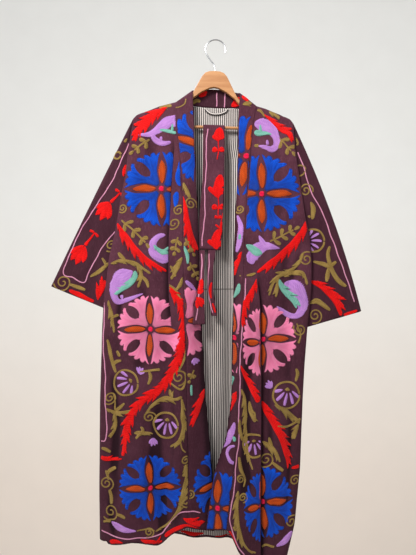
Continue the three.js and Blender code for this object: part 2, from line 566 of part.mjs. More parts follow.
const left = frontAndBand(LEFT);
const right = frontAndBand(RIGHT);
const rear = backAndLining();
add(group, 'front_left', left.front, PLUM);
add(group, 'front_right', right.front, PLUM);
add(group, 'back', rear.back, PLUM);
add(group, 'lining_back', rear.lining, STRIPED);
add(group, 'band_left', left.band, PLUM);
add(group, 'band_right', right.band, PLUM);
add(group, 'band_neck', neckBand(), PLUM);
add(group, 'sleeve_left', sleeve(LEFT), PLUM);
add(group, 'sleeve_right', sleeve(RIGHT), PLUM);
add(group, 'hanging_loop', hangingLoop(), STRIPED);
add(group, 'belt', belt(), PLUM);
add(group, 'belt_tail_left', ribbon(TAIL_LEFT), PLUM);
add(group, 'belt_tail_right', ribbon(TAIL_RIGHT), PLUM);
add(group, 'hanger_hook', hook(), STEEL);

const hanger = new THREE.Group();
hanger.position.set(HANGER_X, 0, WOOD_TOP[0][1]);
hanger.rotation.y = HANGER_TILT;
group.add(hanger);
add(hanger, 'hanger_body', hangerBody(), WOOD).position.z = -WOOD_TOP[0][1];
const bar = new THREE.CylinderGeometry(BAR_R, BAR_R, 2 * (BAR_HALF - SEAM), 20).rotateZ(Math.PI / 2);
add(hanger, 'hanger_bar', bar, WOOD).position.z = BAR_Z - WOOD_TOP[0][1];

export default group;
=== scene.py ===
# %% [markdown]
# # A suzani kimono jacket on its hanger
#
# The jacket is a long, open-fronted coat of plum cotton. Its flowers, leaves and vines are filled with
# rows of chain stitch in thick thread, so they stand a millimetre proud of the cloth. A striped lining
# shows inside the back, and a sash of the same plum cloth hangs folded over the hanger's bar.
#
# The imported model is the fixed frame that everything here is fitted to.

# %% Load the frame
import math
import bpy
import numpy as np
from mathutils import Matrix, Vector
from mathutils.bvhtree import BVHTree


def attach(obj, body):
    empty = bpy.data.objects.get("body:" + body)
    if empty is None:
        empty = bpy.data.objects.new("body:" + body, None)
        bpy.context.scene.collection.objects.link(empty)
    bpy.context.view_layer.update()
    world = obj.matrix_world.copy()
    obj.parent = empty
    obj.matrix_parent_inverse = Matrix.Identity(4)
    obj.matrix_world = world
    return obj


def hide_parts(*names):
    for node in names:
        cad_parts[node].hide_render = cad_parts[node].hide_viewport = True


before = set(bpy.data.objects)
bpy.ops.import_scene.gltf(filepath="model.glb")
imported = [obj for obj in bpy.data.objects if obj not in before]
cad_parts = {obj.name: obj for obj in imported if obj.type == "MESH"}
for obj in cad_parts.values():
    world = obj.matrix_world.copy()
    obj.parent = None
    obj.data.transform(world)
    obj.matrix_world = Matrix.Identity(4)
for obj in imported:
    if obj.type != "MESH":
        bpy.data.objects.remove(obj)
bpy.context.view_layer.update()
MM = 0.001

# %% [markdown]
# ## Camera
#
# The jacket is seen square on, from the height of its middle. The camera comes first, because the
# creases and the light are judged from it.

# %% Camera
CAMERA_AWAY = 1.250
CAMERA_AT = (-0.02025, -CAMERA_AWAY, -0.640)
VIEW_TALL = 1.4985  # what the frame spans from top to bottom, at the hanger's plane
SENSOR = 36.0

camera_data = bpy.data.cameras.new("camera")
camera_data.sensor_width = SENSOR
camera_data.lens = SENSOR * CAMERA_AWAY / VIEW_TALL
camera = bpy.data.objects.new("camera", camera_data)
camera.location = CAMERA_AT
camera.rotation_euler = (math.radians(90), 0, 0)
bpy.context.collection.objects.link(camera)
bpy.context.scene.camera = camera
print("lens", round(camera_data.lens, 2), "mm")

# %% [markdown]
# ## Sizes of the cloth
#
# Every panel is worked out from short tables in millimetres, a row for each height: where its side edge
# is, where it meets its band, how deep it stands. They are the same tables that the solids are made
# from, so each shell lies on its solid. Only the back's hem is a few millimetres lower in its middle
# than the solid's. Left and right are as seen from the front, and the front faces -Y.

# %% Driving sizes
CLOTH = 2.0  # thickness of the cotton
LINING = 1.0  # thickness of the lining
SEAM = 0.3  # between two pieces that are sewn together
HALF_RIDGE = 0.2  # from the shoulder line to the cloth on either side of it
RIDGE_ROLL = 14  # how far down the cloth rolls over the shoulder
SIDE_ROLL = 26  # how far in from a side edge the cloth begins to round over
SLEEVE_HALF = 8  # half the depth of a sleeve's root
SLEEVE_GAP = 1.9  # between a sleeve's root and the cloth that folds over it
HANGER_X = -2
HANGER_TILT = math.radians(1.8)
# How far the corners of the tables are rounded off, in millimetres.
SOFT_EDGE = 12
SOFT_FORM = 20
SOFT_SIDE = 10
SOFT_HEM = 8
SOFT_CREASE = 24


def rows(columns, *lines):
    """A table with named columns, sorted by its first one."""
    lines = np.array(lines, float)
    lines = lines[np.argsort(lines[:, 0], kind="stable")]
    return dict(zip(columns.split(), lines.T))


LEFT = dict(
    out=-1, tip=(-220, -209), out_low=-311, seam_low=-74,
    shoulder=rows("x z", (-107, -167), (-150, -178), (-196, -196), (-220, -209)),
    outer=rows("z x", (-209, -220), (-285, -233), (-362, -241), (-410, -251), (-514, -268), (-586, -285),
               (-700, -299), (-807, -305), (-962, -310), (-1222, -312), (-1355, -310)),
    seam=rows("z x", (-167, -107), (-249, -104), (-352, -92), (-425, -88), (-541, -86), (-673, -84),
              (-803, -78), (-947, -75), (-1187, -70), (-1300, -74)),
    edge=rows("z x y", (-135, -62, -9), (-198, -59, -13), (-273, -56, -15), (-380, -52, -14),
              (-486, -46, -10), (-588, -43, -6), (-700, -42, -5), (-821, -34, -8), (-955, -27, -10),
              (-1074, -16, -12), (-1199, -6, -14), (-1316, -4, -16)),
    crest=rows("z y", (-200, 0), (-380, 4), (-560, 7), (-760, 6), (-1300, 3)),
    tuck=rows("z d", (-269, 0), (-480, 52), (-540, 60), (-748, 56), (-830, 8), (-1355, 6)),
    sleeve_ends=-748, tuck_over=-830,
    hem=rows("x z", (-310, -1334), (-294, -1343), (-270, -1347), (-221, -1334), (-147, -1341),
             (-117, -1313), (-75, -1293), (-4, -1316)),
    crease=dict(recedes=-1, depth=14, reach=36, path=rows(
        "z x", (-250, -106), (-369, -115), (-528, -123), (-673, -124), (-790, -112))),
    underarm=(-231, -517), cuff_top=(-443, -663), cuff_low=(-266, -736), bow=2,
)
RIGHT = dict(
    out=1, tip=(207, -220), out_low=212, seam_low=28,
    shoulder=rows("x z", (112, -178), (136, -185), (174, -201), (207, -220)),
    outer=rows("z x", (-220, 207), (-336, 219), (-418, 232), (-479, 240), (-530, 253), (-596, 257),
               (-676, 256), (-777, 245), (-860, 239), (-962, 234), (-1152, 227), (-1222, 220),
               (-1299, 212), (-1363, 196), (-1414, 184)),
    seam=rows("z x", (-178, 112), (-214, 103), (-306, 94), (-430, 82), (-542, 77), (-699, 70),
              (-803, 61), (-946, 57), (-1063, 55), (-1170, 45), (-1274, 32), (-1310, 28)),
    edge=rows("z x y", (-142, 66, -9), (-206, 61, -13), (-278, 60, -15), (-380, 57, -15),
              (-486, 52, -13), (-593, 48, -11), (-700, 47, -12), (-780, 45, -14), (-965, 41, -20),
              (-1064, 27, -27), (-1152, -4, -33), (-1243, -18, -34), (-1304, -26, -34)),
    crest=rows("z y", (-200, 0), (-380, 4), (-560, 6), (-800, 5), (-1300, 1)),
    tuck=rows("z d", (-280, 0), (-490, 54), (-550, 62), (-796, 56), (-880, 8), (-1414, 6)),
    sleeve_ends=-796, tuck_over=-880,
    hem=rows("x z", (-26, -1304), (29, -1300), (48, -1327), (61, -1359), (89, -1382), (128, -1396),
             (171, -1402), (184, -1396)),
    crease=dict(recedes=1, depth=12, reach=34, path=rows(
        "z x", (-620, 106), (-714, 117), (-900, 119), (-1500, 118))),
    underarm=(216, -530), cuff_top=(393, -730), cuff_low=(216, -782), bow=14,
)
FACE = rows("z y", (-180, 10), (-260, 14), (-350, 20), (-430, 26), (-540, 33), (-700, 38), (-830, 40),
            (-1400, 41))
SIDE = rows("z y", (-222, 10), (-240, 12), (-275, 16), (-360, 21), (-800, 22), (-1400, 24))
BACK_FACE = rows("z y", (-180, 15.5), (-300, 16), (-420, 17), (-700, 19), (-1400, 20))
BACK_HEM = rows("x z", (-310, -1347), (-121, -1340), (-37, -1347), (0, -1353), (43, -1358),
                (184, -1388))
NECK = rows("seam_x seam_y seam_z edge_x edge_y edge_z",
            (-107, 0.2, -167, -62, 0.2, -135), (-86, 10, -170, -54, 9, -131), (-42, 15, -175, -34, 12, -129),
            (0, 15.5, -178, 0, 13, -128), (43, 15, -178, 37, 12, -132), (86, 10, -180, 58, 9, -138),
            (112, 0.2, -178, 66, 0.2, -142))
NECK_ENDS = (NECK["seam_x"][0], NECK["seam_x"][-1])
BELT = rows("z left right", (-232, -33, 25), (-378, -35, 24), (-472, -43, 20), (-566, -43, 15))
BAR_R = 4  # radius of the hanger's bar
BAR_Z = -235  # height of its middle
BELT_CLEAR = 0.6  # between the bar and the sash
BELT_WALL = 2
TAIL_LEFT = ((-566.6, -43, -9, -28, -9), (-600, -42, -11, -31, -19), (-660, -46, -17, -31, -26),
             (-712, -56, -31, -29, -25), (-764, -60, -35, -28, -24))
TAIL_RIGHT = ((-566.6, -20, -8, 1, -8), (-620, -23, -5, -7, -11), (-680, -20, -4, -6, -12),
              (-743, -10, -7, 4, -10))
LOOP = ((-28, -181), (-20, -190), (-8, -195), (4, -196), (16, -194), (27, -189), (34, -181))
LOOP_Y = 9.6  # how far behind the hanger's plane the loop lies
print("tables for", len(LEFT) + len(RIGHT), "outlines")

# %% [markdown]
# ## Creases
#
# Hanging cloth creases where it is held and where it is pressed: long soft troughs down the body, short
# slanted ones at the shoulders and the waist, and drag lines towards the hem. Each is given its own
# depth, width and path, so no two are alike. The two sharp folds, where cloth lies over cloth, are in
# the side tables above.

# %% Creases
FOLD_GAIN = 1.9  # how much deeper the creases are than their tables say
FOLDS_LEFT = (
    (-7, 20, ((-100, -760), (-92, -960), (-96, -1200))),
    (5, 24, ((-150, -940), (-158, -1100), (-132, -1330))),
    (-5, 34, ((-225, -1050), (-232, -1230), (-240, -1400))),
    (4, 26, ((-200, -560), (-190, -760), (-205, -930))),
    (4, 30, ((-170, -240), (-180, -400), (-190, -520))),
    (-2.2, 9, ((-196, -215), (-188, -300), (-200, -380))),
    (2.4, 10, ((-236, -330), (-214, -420), (-206, -500))),
    (-2.0, 8, ((-246, -470), (-220, -560), (-178, -640))),
    (2.2, 9, ((-270, -560), (-252, -680), (-262, -800))),
    (-2.4, 12, ((-160, -640), (-150, -780), (-168, -900))),
    (2.6, 11, ((-282, -860), (-262, -1010), (-270, -1180))),
    (-2.4, 10, ((-190, -900), (-196, -1060), (-184, -1240))),
    (2.8, 9, ((-120, -1120), (-136, -1220), (-150, -1345))),
    (-2.6, 8, ((-92, -1180), (-108, -1250), (-128, -1330))),
    (1.8, 8, ((-286, -1180), (-280, -1270), (-262, -1350))),
)
FOLDS_RIGHT = (
    (5, 14, ((86, -780), (84, -1000), (78, -1240))),
    (-5, 26, ((170, -900), (172, -1100), (160, -1440))),
    (4, 26, ((190, -520), (180, -680), (190, -820))),
    (4, 28, ((160, -250), (165, -400), (170, -540))),
    (-2.2, 9, ((186, -222), (178, -300), (192, -380))),
    (2.2, 9, ((214, -330), (200, -430), (196, -520))),
    (-2.0, 10, ((130, -430), (140, -540), (160, -640))),
    (2.2, 8, ((236, -520), (214, -620), (176, -700))),
    (-2.2, 10, ((222, -700), (206, -820), (214, -960))),
    (2.4, 11, ((142, -820), (138, -980), (150, -1140))),
    (-2.4, 9, ((98, -860), (96, -1000), (92, -1180))),
    (2.6, 10, ((200, -980), (196, -1130), (190, -1300))),
    (-2.2, 8, ((146, -1180), (142, -1280), (150, -1392))),
)
FOLDS_BACK = (
    (6, 22, ((-120, -330), (-138, -700), (-150, -1300))),
    (-6, 26, ((-40, -420), (-52, -800), (-60, -1500))),
    (7, 20, ((30, -260), (42, -760), (36, -1500))),
    (-5, 24, ((118, -560), (122, -900), (110, -1500))),
    (5, 26, ((-228, -800), (-235, -1050), (-240, -1500))),
    (-2.4, 11, ((-170, -230), (-160, -420), (-176, -600))),
    (2.2, 10, ((150, -240), (142, -400), (156, -560))),
    (-2.6, 12, ((-196, -560), (-184, -800), (-198, -1020))),
    (2.6, 12, ((-96, -760), (-90, -980), (-102, -1260))),
    (-2.4, 11, ((84, -640), (76, -880), (84, -1160))),
    (2.4, 12, ((176, -760), (168, -980), (150, -1300))),
    (-2.2, 9, ((-262, -980), (-256, -1160), (-262, -1330))),
    (-2.6, 10, ((-8, -900), (-4, -1120), (-14, -1345))),
)
FADE = 70  # how far from its ends a crease fades out
FOLD_TURN = 7  # how far past a sharp fold the cloth has gone down behind it
RUMPLE = 0.75  # height of the small unevenness all over


def mix(a, b, t):
    return a + (b - a) * t


def smooth(t):
    t = np.clip(t, 0, 1)
    return t * t * (3 - 2 * t)


def arc(t):
    return np.sqrt(1 - (1 - np.clip(t, 0, 1)) ** 2)


def look_up(table, place, column, soften=0.0):
    """A column of a table at a place between its rows, with its corners rounded off."""
    key = next(iter(table))
    here = np.interp(place, table[key], table[column])
    if not soften:
        return here
    above = np.interp(place + soften, table[key], table[column])
    below = np.interp(place - soften, table[key], table[column])
    return (above + 2 * here + below) / 4


def faded(path_z, z):
    """1 along a crease, falling to 0 at both of its ends."""
    return smooth((path_z.max() - z) / FADE) * smooth((z - path_z.min()) / FADE)


def soft_folds(folds, x, z):
    depth = np.zeros(np.broadcast(x, z).shape)
    for deep, width, path in folds:
        line = rows("z x", *[(pz, px) for px, pz in path])
        away = (x - look_up(line, z, "x", SOFT_CREASE)) / width
        depth += deep * faded(line["z"], z) * np.exp(-away * away)
    return depth * FOLD_GAIN


def line_x(side, line, z):
    """Where one of a front's lines stands at each height."""
    return look_up(side[line], z, "x", SOFT_EDGE)


def hem_at(side, x):
    return look_up(side["hem"], x, "z", SOFT_HEM)


def fold_at_height(side, z):
    return look_up(side["crease"]["path"], z, "x", SOFT_FORM)


def sharp_fold(side, x, z):
    """How far a point lies past the sharp fold, and how deep it has gone behind it."""
    crease = side["crease"]
    away = (x - fold_at_height(side, z)) * crease["recedes"]
    depth = crease["depth"] * faded(crease["path"]["z"], z) * smooth(away / FOLD_TURN)
    return away, depth * np.exp(-np.maximum(away, 0) / crease["reach"])


def rumple(x, z):
    """A slow wave and a quick one, with lengths that don't share a factor, so they never repeat."""
    slow = np.sin(x / 17 + 1.3 * np.sin(z / 41)) * np.sin(z / 23 + 1.1 * np.sin(x / 29))
    quick = np.sin(x / 7.3 + z / 11.9 + 2 * np.sin(z / 31)) * np.sin(z / 8.7 - x / 13.1)
    return RUMPLE * (slow + 0.45 * quick)


print("creases", len(FOLDS_LEFT) + len(FOLDS_RIGHT) + len(FOLDS_BACK))

# %% [markdown]
# ## From a grid to cloth
#
# A panel is a grid of outer points, with a row for each height. Its wall is that grid, a second one
# lying one thickness inside along the normals, and a rim that joins the two, so the cloth has a real
# edge. The sharp folds are laid over: just past the fold the grid turns back in under it.

# %% Grids, walls and objects
NO_EDGES = ()
FOLD_SHADE_COLUMNS = 7  # columns on each side that a point is compared with, for the painted shade in folds
FOLD_SHADE_FULL = 3.5  # millimetres below them at which a point counts as wholly in a fold and gets full painted shade
TINY = 1e-6  # keeps a length that is divided by above zero


def through(points, along):
    """A smooth curve through points of (..., k) arrays, at the places `along` from 0 to 1."""
    points = [np.asarray(p, float) for p in points]
    spans = len(points) - 1
    at = np.clip(np.asarray(along, float) * spans, 0, spans - 1e-9)  # just inside the last span
    whole = int(np.floor(at))
    t = at - whole
    p1, p2 = points[whole], points[whole + 1]
    p0 = points[whole - 1] if whole > 0 else 2 * p1 - p2
    p3 = points[whole + 2] if whole + 2 <= spans else 2 * p2 - p1
    gap = [np.maximum(np.linalg.norm(b - a, axis=-1, keepdims=True), TINY) ** 0.5
           for a, b in ((p0, p1), (p1, p2), (p2, p3))]
    leave = ((p1 - p0) / gap[0] - (p2 - p0) / (gap[0] + gap[1]) + (p2 - p1) / gap[1]) * gap[1]
    reach = ((p2 - p1) / gap[1] - (p3 - p1) / (gap[1] + gap[2]) + (p3 - p2) / gap[2]) * gap[1]
    t2, t3 = t * t, t * t * t
    return ((2 * t3 - 3 * t2 + 1) * p1 + (t3 - 2 * t2 + t) * leave
            + (3 * t2 - 2 * t3) * p2 + (t3 - t2) * reach)


def grid_normals(grid, facing, around=False):
    down = np.gradient(grid, axis=0)
    across = np.roll(grid, -1, 1) - np.roll(grid, 1, 1) if around else np.gradient(grid, axis=1)
    normals = np.cross(down, across)
    normals /= np.maximum(np.linalg.norm(normals, axis=2, keepdims=True), 1e-9)
    middle = normals[len(grid) // 2, grid.shape[1] // 4 if around else grid.shape[1] // 2]
    return -normals if middle @ np.array(facing) < 0 else normals


def grid_quads(count, columns, around=False):
    spans = columns if around else columns - 1
    i, j = np.meshgrid(np.arange(count - 1), np.arange(spans), indexing="ij")
    near, far = i * columns + j, i * columns + (j + 1) % columns
    return np.stack([near, near + columns, far + columns, far], -1).reshape(-1, 4)


def wall_faces(count, columns, around=False):
    layer = count * columns
    outer = grid_quads(count, columns, around)
    faces = [outer, outer[:, ::-1] + layer]
    spans = columns if around else columns - 1
    j = np.arange(spans)
    k = (j + 1) % columns
    faces.append(np.stack([j, k, k + layer, j + layer], -1))
    last = (count - 1) * columns
    faces.append(np.stack([j + last, j + last + layer, k + last + layer, k + last], -1))
    if not around:
        i = np.arange(count - 1) * columns
        faces.append(np.stack([i, i + layer, i + columns + layer, i + columns], -1))
        i = i + columns - 1
        faces.append(np.stack([i, i + columns, i + columns + layer, i + layer], -1))
    return np.concatenate(faces)


def make(name, points, faces, finish, closed=True, attributes=None):
    """A mesh object from points in millimetres, on the one body. A finish is a material and its slot; the
    slot is not used here.
    """
    material, slot = finish
    points = np.asarray(points, float) * MM
    faces = np.asarray(faces)
    if closed:
        a, b, c, d = (points[faces[:, k]] for k in range(4))
        volume = np.einsum("ij,ij->i", a, np.cross(b, c) + np.cross(c, d)).sum()
        faces = faces[:, ::-1] if volume < 0 else faces
    mesh = bpy.data.meshes.new(name)
    mesh.from_pydata(points.tolist(), NO_EDGES, faces.tolist())
    for key, values in (attributes or {}).items():
        values = np.asarray(values, np.float32)
        kind = "FLOAT" if values.ndim == 1 else "FLOAT_VECTOR"
        layer = mesh.attributes.new(key, kind, "POINT")
        layer.data.foreach_set("value" if values.ndim == 1 else "vector", values.ravel())
    mesh.shade_smooth()
    mesh.materials.append(material)
    piece = bpy.data.objects.new(name, mesh)
    bpy.context.collection.objects.link(piece)
    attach(piece, "root")
    return piece


def shade_from_folds(grid, faces_to):
    """How far each point lies down in a fold, from 0 to 1: its depth below its neighbours across. It is
    painted as shade.
    """
    depth = grid[..., 1] * -faces_to
    padded = np.pad(depth, ((0, 0), (FOLD_SHADE_COLUMNS, FOLD_SHADE_COLUMNS)), mode="edge")
    total = np.cumsum(np.pad(padded, ((0, 0), (1, 0))), axis=1)
    span = 2 * FOLD_SHADE_COLUMNS + 1
    around = (total[:, span:] - total[:, :-span]) / span
    return np.clip((depth - around) / FOLD_SHADE_FULL, 0, 1)


def walled(node, grid, normals, thickness, finish, around=False, cloth=None, fold_shade=None):
    """A closed wall on a grid, shown instead of a solid. `cloth` is each point's place on the flat cloth.
    The painted shade in folds goes with it as a third value.
    """
    points = np.concatenate([grid.reshape(-1, 3), (grid - normals * thickness).reshape(-1, 3)])
    flat = grid[..., [0, 2]] if cloth is None else cloth
    flat = np.concatenate([flat.reshape(-1, 2)] * 2) * MM
    # Each point's painted shade in a fold, kept as a third value of its place on the cloth.
    held = np.zeros(grid.shape[:2]) if fold_shade is None else fold_shade
    flat = np.concatenate([flat, np.concatenate([held.reshape(-1, 1)] * 2) * MM], 1)
    faces = wall_faces(*grid.shape[:2], around)
    piece = make(node + "_cloth", points, faces, finish, attributes={"cloth": flat})
    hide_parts(node)
    print(piece.name, len(faces) * 2, "triangles")
    return piece

# %% [markdown]
# ## Shader maths
#
# A finish is easier to read as arithmetic than as boxes and wires. `Value` wraps a socket, and each
# operator adds the Math node that it stands for. `Nodes` adds any other node in one line.

# %% A socket with operators
class Value:
    def __init__(self, nodes, socket):
        self.nodes = nodes
        self.socket = socket

    def math(self, operation, *others):
        return self.nodes.add("Math", {"operation": operation}, {0: self, **dict(enumerate(others, 1))})

    def __add__(self, other):
        return self.math("ADD", other)

    def __sub__(self, other):
        return self.math("SUBTRACT", other)

    def __mul__(self, other):
        return self.math("MULTIPLY", other)

    def __rsub__(self, other):
        return self.nodes.add("Math", {"operation": "SUBTRACT"}, {0: other, 1: self})

    __radd__ = __add__
    __rmul__ = __mul__

    def sine(self):
        return self.math("SINE")

    def between(self, low, high):
        """0 below `low`, 1 above `high`, and a soft step in between."""
        return self.nodes.add("MapRange", {"interpolation_type": "SMOOTHSTEP"},
                              {"Value": self, "From Min": low, "From Max": high})


class Nodes:
    """The nodes of one material, ending in a Principled shader."""

    def __init__(self, name, **constants):
        self.material = bpy.data.materials.new(name)
        self.material.use_nodes = True
        self.tree = self.material.node_tree
        self.shader = next(n for n in self.tree.nodes if n.type == "BSDF_PRINCIPLED")
        for key, value in constants.items():
            self.shader.inputs[key.replace("_", " ")].default_value = value

    def add(self, kind, settings=None, inputs=None, output=0):
        node = self.tree.nodes.new("ShaderNode" + kind)
        for key, value in (settings or {}).items():
            if key == "stops":
                self.set_stops(node.color_ramp, value)
            else:
                setattr(node, key, value)
        for key, value in (inputs or {}).items():
            if isinstance(value, Value):
                self.tree.links.new(value.socket, node.inputs[key])
            else:
                node.inputs[key].default_value = value
        return Value(self, node.outputs[output])

    @staticmethod
    def set_stops(ramp, stops):
        while len(ramp.elements) < len(stops):
            ramp.elements.new(0.5)
        for element, (place, colour) in zip(ramp.elements, stops):
            element.position = place
            element.color = colour

    def attribute(self, name, output="Fac"):
        return self.add("Attribute", {"attribute_name": name}, output=output)

    def noise(self, vector, scale, detail=2.0, roughness=0.5):
        return self.add("TexNoise", {}, {"Vector": vector, "Scale": scale, "Detail": detail,
                                         "Roughness": roughness})

    def stretched(self, vector, factors):
        return self.add("VectorMath", {"operation": "MULTIPLY"}, {0: vector, 1: factors})

    def parts(self, vector):
        node = self.tree.nodes.new("ShaderNodeSeparateXYZ")
        self.tree.links.new(vector.socket, node.inputs[0])
        return [Value(self, out) for out in node.outputs]

    def blend(self, amount, first, second):
        """A mix of two colours. Sockets 6 and 7 of the Mix node are its colour inputs."""
        return self.add("Mix", {"data_type": "RGBA"}, {0: amount, 6: first, 7: second}, output=2)

    def feed(self, **links):
        for key, value in links.items():
            self.tree.links.new(value.socket, self.shader.inputs[key.replace("_", " ")])

    def raise_by(self, height, distance, strength=1.0):
        bump = self.add("Bump", {}, {"Height": height, "Distance": distance, "Strength": strength})
        self.feed(Normal=bump)
        return self.material


def colour(red, green, blue):
    """A colour given as it looks on a screen, 0 to 255, in the linear values that shaders use."""
    def linear(value):
        value /= 255
        return value / 12.92 if value <= 0.04045 else ((value + 0.055) / 1.055) ** 2.4
    return (linear(red), linear(green), linear(blue), 1.0)


print("helpers ready")

# %% [markdown]
# ## Plum cotton
#
# The ground is a plain-woven cotton, dyed a brown plum. A weave is two sets of ridges at right angles,
# each rising where the other dips, so the height is a product of two sines over the flat cloth. Slubs,
# which are thicker stretches of thread, and a slow change in the dye keep it from looking printed.

# %% Plum cotton
THREAD = 0.00075  # metres between the threads of the weave
PLUM = colour(90, 48, 62)
PLUM_DEEP = colour(72, 34, 47)
PLUM_PALE = colour(120, 72, 90)
# The colour that painted shade darkens the cloth towards.
PLUM_SHADOW = colour(36, 12, 22)
DIM_FROM, DIM_TO = -0.3, -1.3  # heights in metres between which painted shade grows downwards, as the light falls off
DIM = 0.45  # how much painted shade darkens the cloth at the lower one
FOLD_SHADE_STRENGTH = 0.8  # how much painted shade darkens it down in a fold


def plum_cotton(name, light):
    """`light` is how much light is painted into the cloth: 1 for the body, less for the sleeves, which lie
    back and so are painted in shade.
    """
    nodes = Nodes(name, Roughness=0.88, Sheen_Weight=0.06, Sheen_Roughness=0.45,
                  Specular_IOR_Level=0.18)
    nodes.shader.inputs["Sheen Tint"].default_value = colour(190, 150, 170)
    flat = nodes.attribute("cloth", "Vector")
    across, down, folded = nodes.parts(flat)
    warp = (across * (math.tau / THREAD)).sine()
    weft = (down * (math.tau / THREAD)).sine()
    slub = nodes.noise(nodes.stretched(flat, (900, 60, 1)), 1.0, 3)
    dye = nodes.noise(flat, 9, 2)
    wear = nodes.noise(flat, 160, 3)
    ground = nodes.blend(dye.between(0.3, 0.75), PLUM_DEEP, PLUM)
    ground = nodes.blend(slub.between(0.5, 0.75) * 0.5, ground, PLUM_PALE)
    worn = nodes.blend(wear.between(0.5, 0.8) * 0.3, ground, PLUM_PALE)
    # Painted shade: darker towards the hem where the light falls off, down in folds, and all over on the
    # shaded copy.
    painted_shade = (1.0 - down.between(DIM_TO, DIM_FROM)) * DIM + (folded * (1 / MM)) * FOLD_SHADE_STRENGTH + (1 - light)
    nodes.feed(Base_Color=nodes.blend(painted_shade, worn, PLUM_SHADOW))
    height = warp * weft * 0.5 + slub * 0.8 + wear * 0.6
    return nodes.raise_by(height, 0.0003, 0.7)


# A lit copy for the body, and a copy with painted shade for the sleeves and the neck band.
PLUM_COTTON = (plum_cotton("plum_cotton", 1.0), "plum_cotton")
PLUM_SHADED_COTTON = (plum_cotton("plum_cotton_shaded", 0.5), "plum_cotton")
print("plum cotton", len(PLUM_COTTON[0].node_tree.nodes), "nodes")

# %% [markdown]
# ## Striped lining
#
# The lining is a thin cotton woven in narrow black and off-white stripes that run down the body. The
# stripe comes from the flat cloth's own width, so it bends with every crease.

# %% Striped lining
STRIPE = 0.0052  # metres from one dark stripe to the next
LINING_JOIN = -0.672  # height of the seam across the lining


def striped_lining():
    nodes = Nodes("striped_lining", Roughness=0.82, Sheen_Weight=0.1, Specular_IOR_Level=0.3)
    flat = nodes.attribute("cloth", "Vector")
    across, down, _ = nodes.parts(flat)
    wander = nodes.noise(flat, 30, 2)
    stripe = ((across + wander * 0.0008) * (math.tau / STRIPE)).sine().between(-0.1, 0.45)
    slub = nodes.noise(nodes.stretched(flat, (1200, 90, 1)), 1.0, 2)
    pale = nodes.blend(slub, colour(234, 224, 218), colour(205, 194, 188))
    dark = nodes.blend(slub, colour(38, 33, 35), colour(56, 50, 52))
    join = 1.0 - (down - LINING_JOIN).math("ABSOLUTE").between(0.0008, 0.0026)
    nodes.feed(Base_Color=nodes.blend(join * 0.7, nodes.blend(stripe, dark, pale), colour(70, 62, 62)))
    weave = (across * (math.tau / THREAD)).sine() * (down * (math.tau / THREAD)).sine() - join * 2
    return nodes.raise_by(weave * 0.5 + slub, 0.0002, 0.6)


STRIPED = (striped_lining(), "striped_lining")
print("lining", len(STRIPED[0].node_tree.nodes), "nodes")

# %% [markdown]
# ## Embroidery thread
#
# Thick, softly twisted thread in rows of chain stitch. Each stitch is a little teardrop loop, and its
# neighbours in the next row lie half a stitch further on. Every patch of embroidery keeps, at each
# point, how far along its row and how far across the rows it lies, so the loops follow the motif.

# %% Thread colours
RIM_SHADE = 0.55  # how dark the thread is painted where it dives into the cloth: painted shade at a pad's rim
ROW = 0.0033  # between two rows of chain stitch
LINK = 0.0052  # from one loop to the next
THREADS = dict(
    blue=((0, 92, 228), (0, 50, 160)),
    pink=((255, 154, 192), (246, 118, 164)),
    red=((255, 10, 8), (206, 0, 2)),
    orange=((214, 84, 14), (160, 52, 6)),
    olive=((176, 146, 80), (122, 95, 42)),
    lilac=((212, 154, 224), (168, 112, 194)),
    mint=((142, 204, 184), (98, 164, 148)),
    rose=((255, 24, 84), (214, 8, 56)),
    pale_pink=((242, 172, 200), (214, 136, 170)),
)


def thread(name, bright, deep):
    nodes = Nodes("thread_" + name, Roughness=0.75, Sheen_Weight=0.06, Specular_IOR_Level=0.15)
    lies = nodes.attribute("stitch", "Vector")
    along, across, rise = nodes.parts(lies)
    row = across * (math.pi / ROW)
    link = along * (math.tau / LINK) + row
    loops = (row.sine().math("ABSOLUTE")) * (link.sine() * 0.35 + 0.65)
    fibre = nodes.noise(nodes.stretched(lies, (300, 1500, 1)), 1.0, 3)
    lay = nodes.noise(nodes.stretched(lies, (45, 330, 0)), 1.0, 2)
    worked = nodes.noise(nodes.stretched(lies, (40, 130, 0)), 1.0, 2)
    # The loops paint shade into the grooves between stitches; the two noises are the thread's own uneven
    # tone.
    shade = loops * 0.5 + lay.between(0.3, 0.7) * 0.15 + worked.between(0.35, 0.65) * 0.35
    filled = nodes.blend(shade, colour(*deep), colour(*bright))
    # Painted shade along the rim, where the pad dives into the cloth.
    rim = rise.between(0.0, 0.95)
    nodes.feed(Base_Color=nodes.blend(rim, colour(*[c * RIM_SHADE for c in deep]), filled))
    return nodes.raise_by(loops * 1.3 + fibre * 0.4 + lay * 0.5 + worked * 1.4, 0.0014, 1.0)


THREAD_SLOT = dict(rose="thread_red", pale_pink="thread_pink")
THREAD_FINISH = {name: (thread(name, *shades), THREAD_SLOT.get(name, "thread_" + name))
                 for name, shades in THREADS.items()}
print("threads", ", ".join(THREAD_FINISH))

# %% [markdown]
# ## The fronts
#
# Each front is one panel with a long band sewn down its inner edge. Both are cut from one grid, so they
# meet along the seam. Beyond the side edge the cloth rounds over and turns in behind, where it is sewn
# to the back and folds over the sleeve.

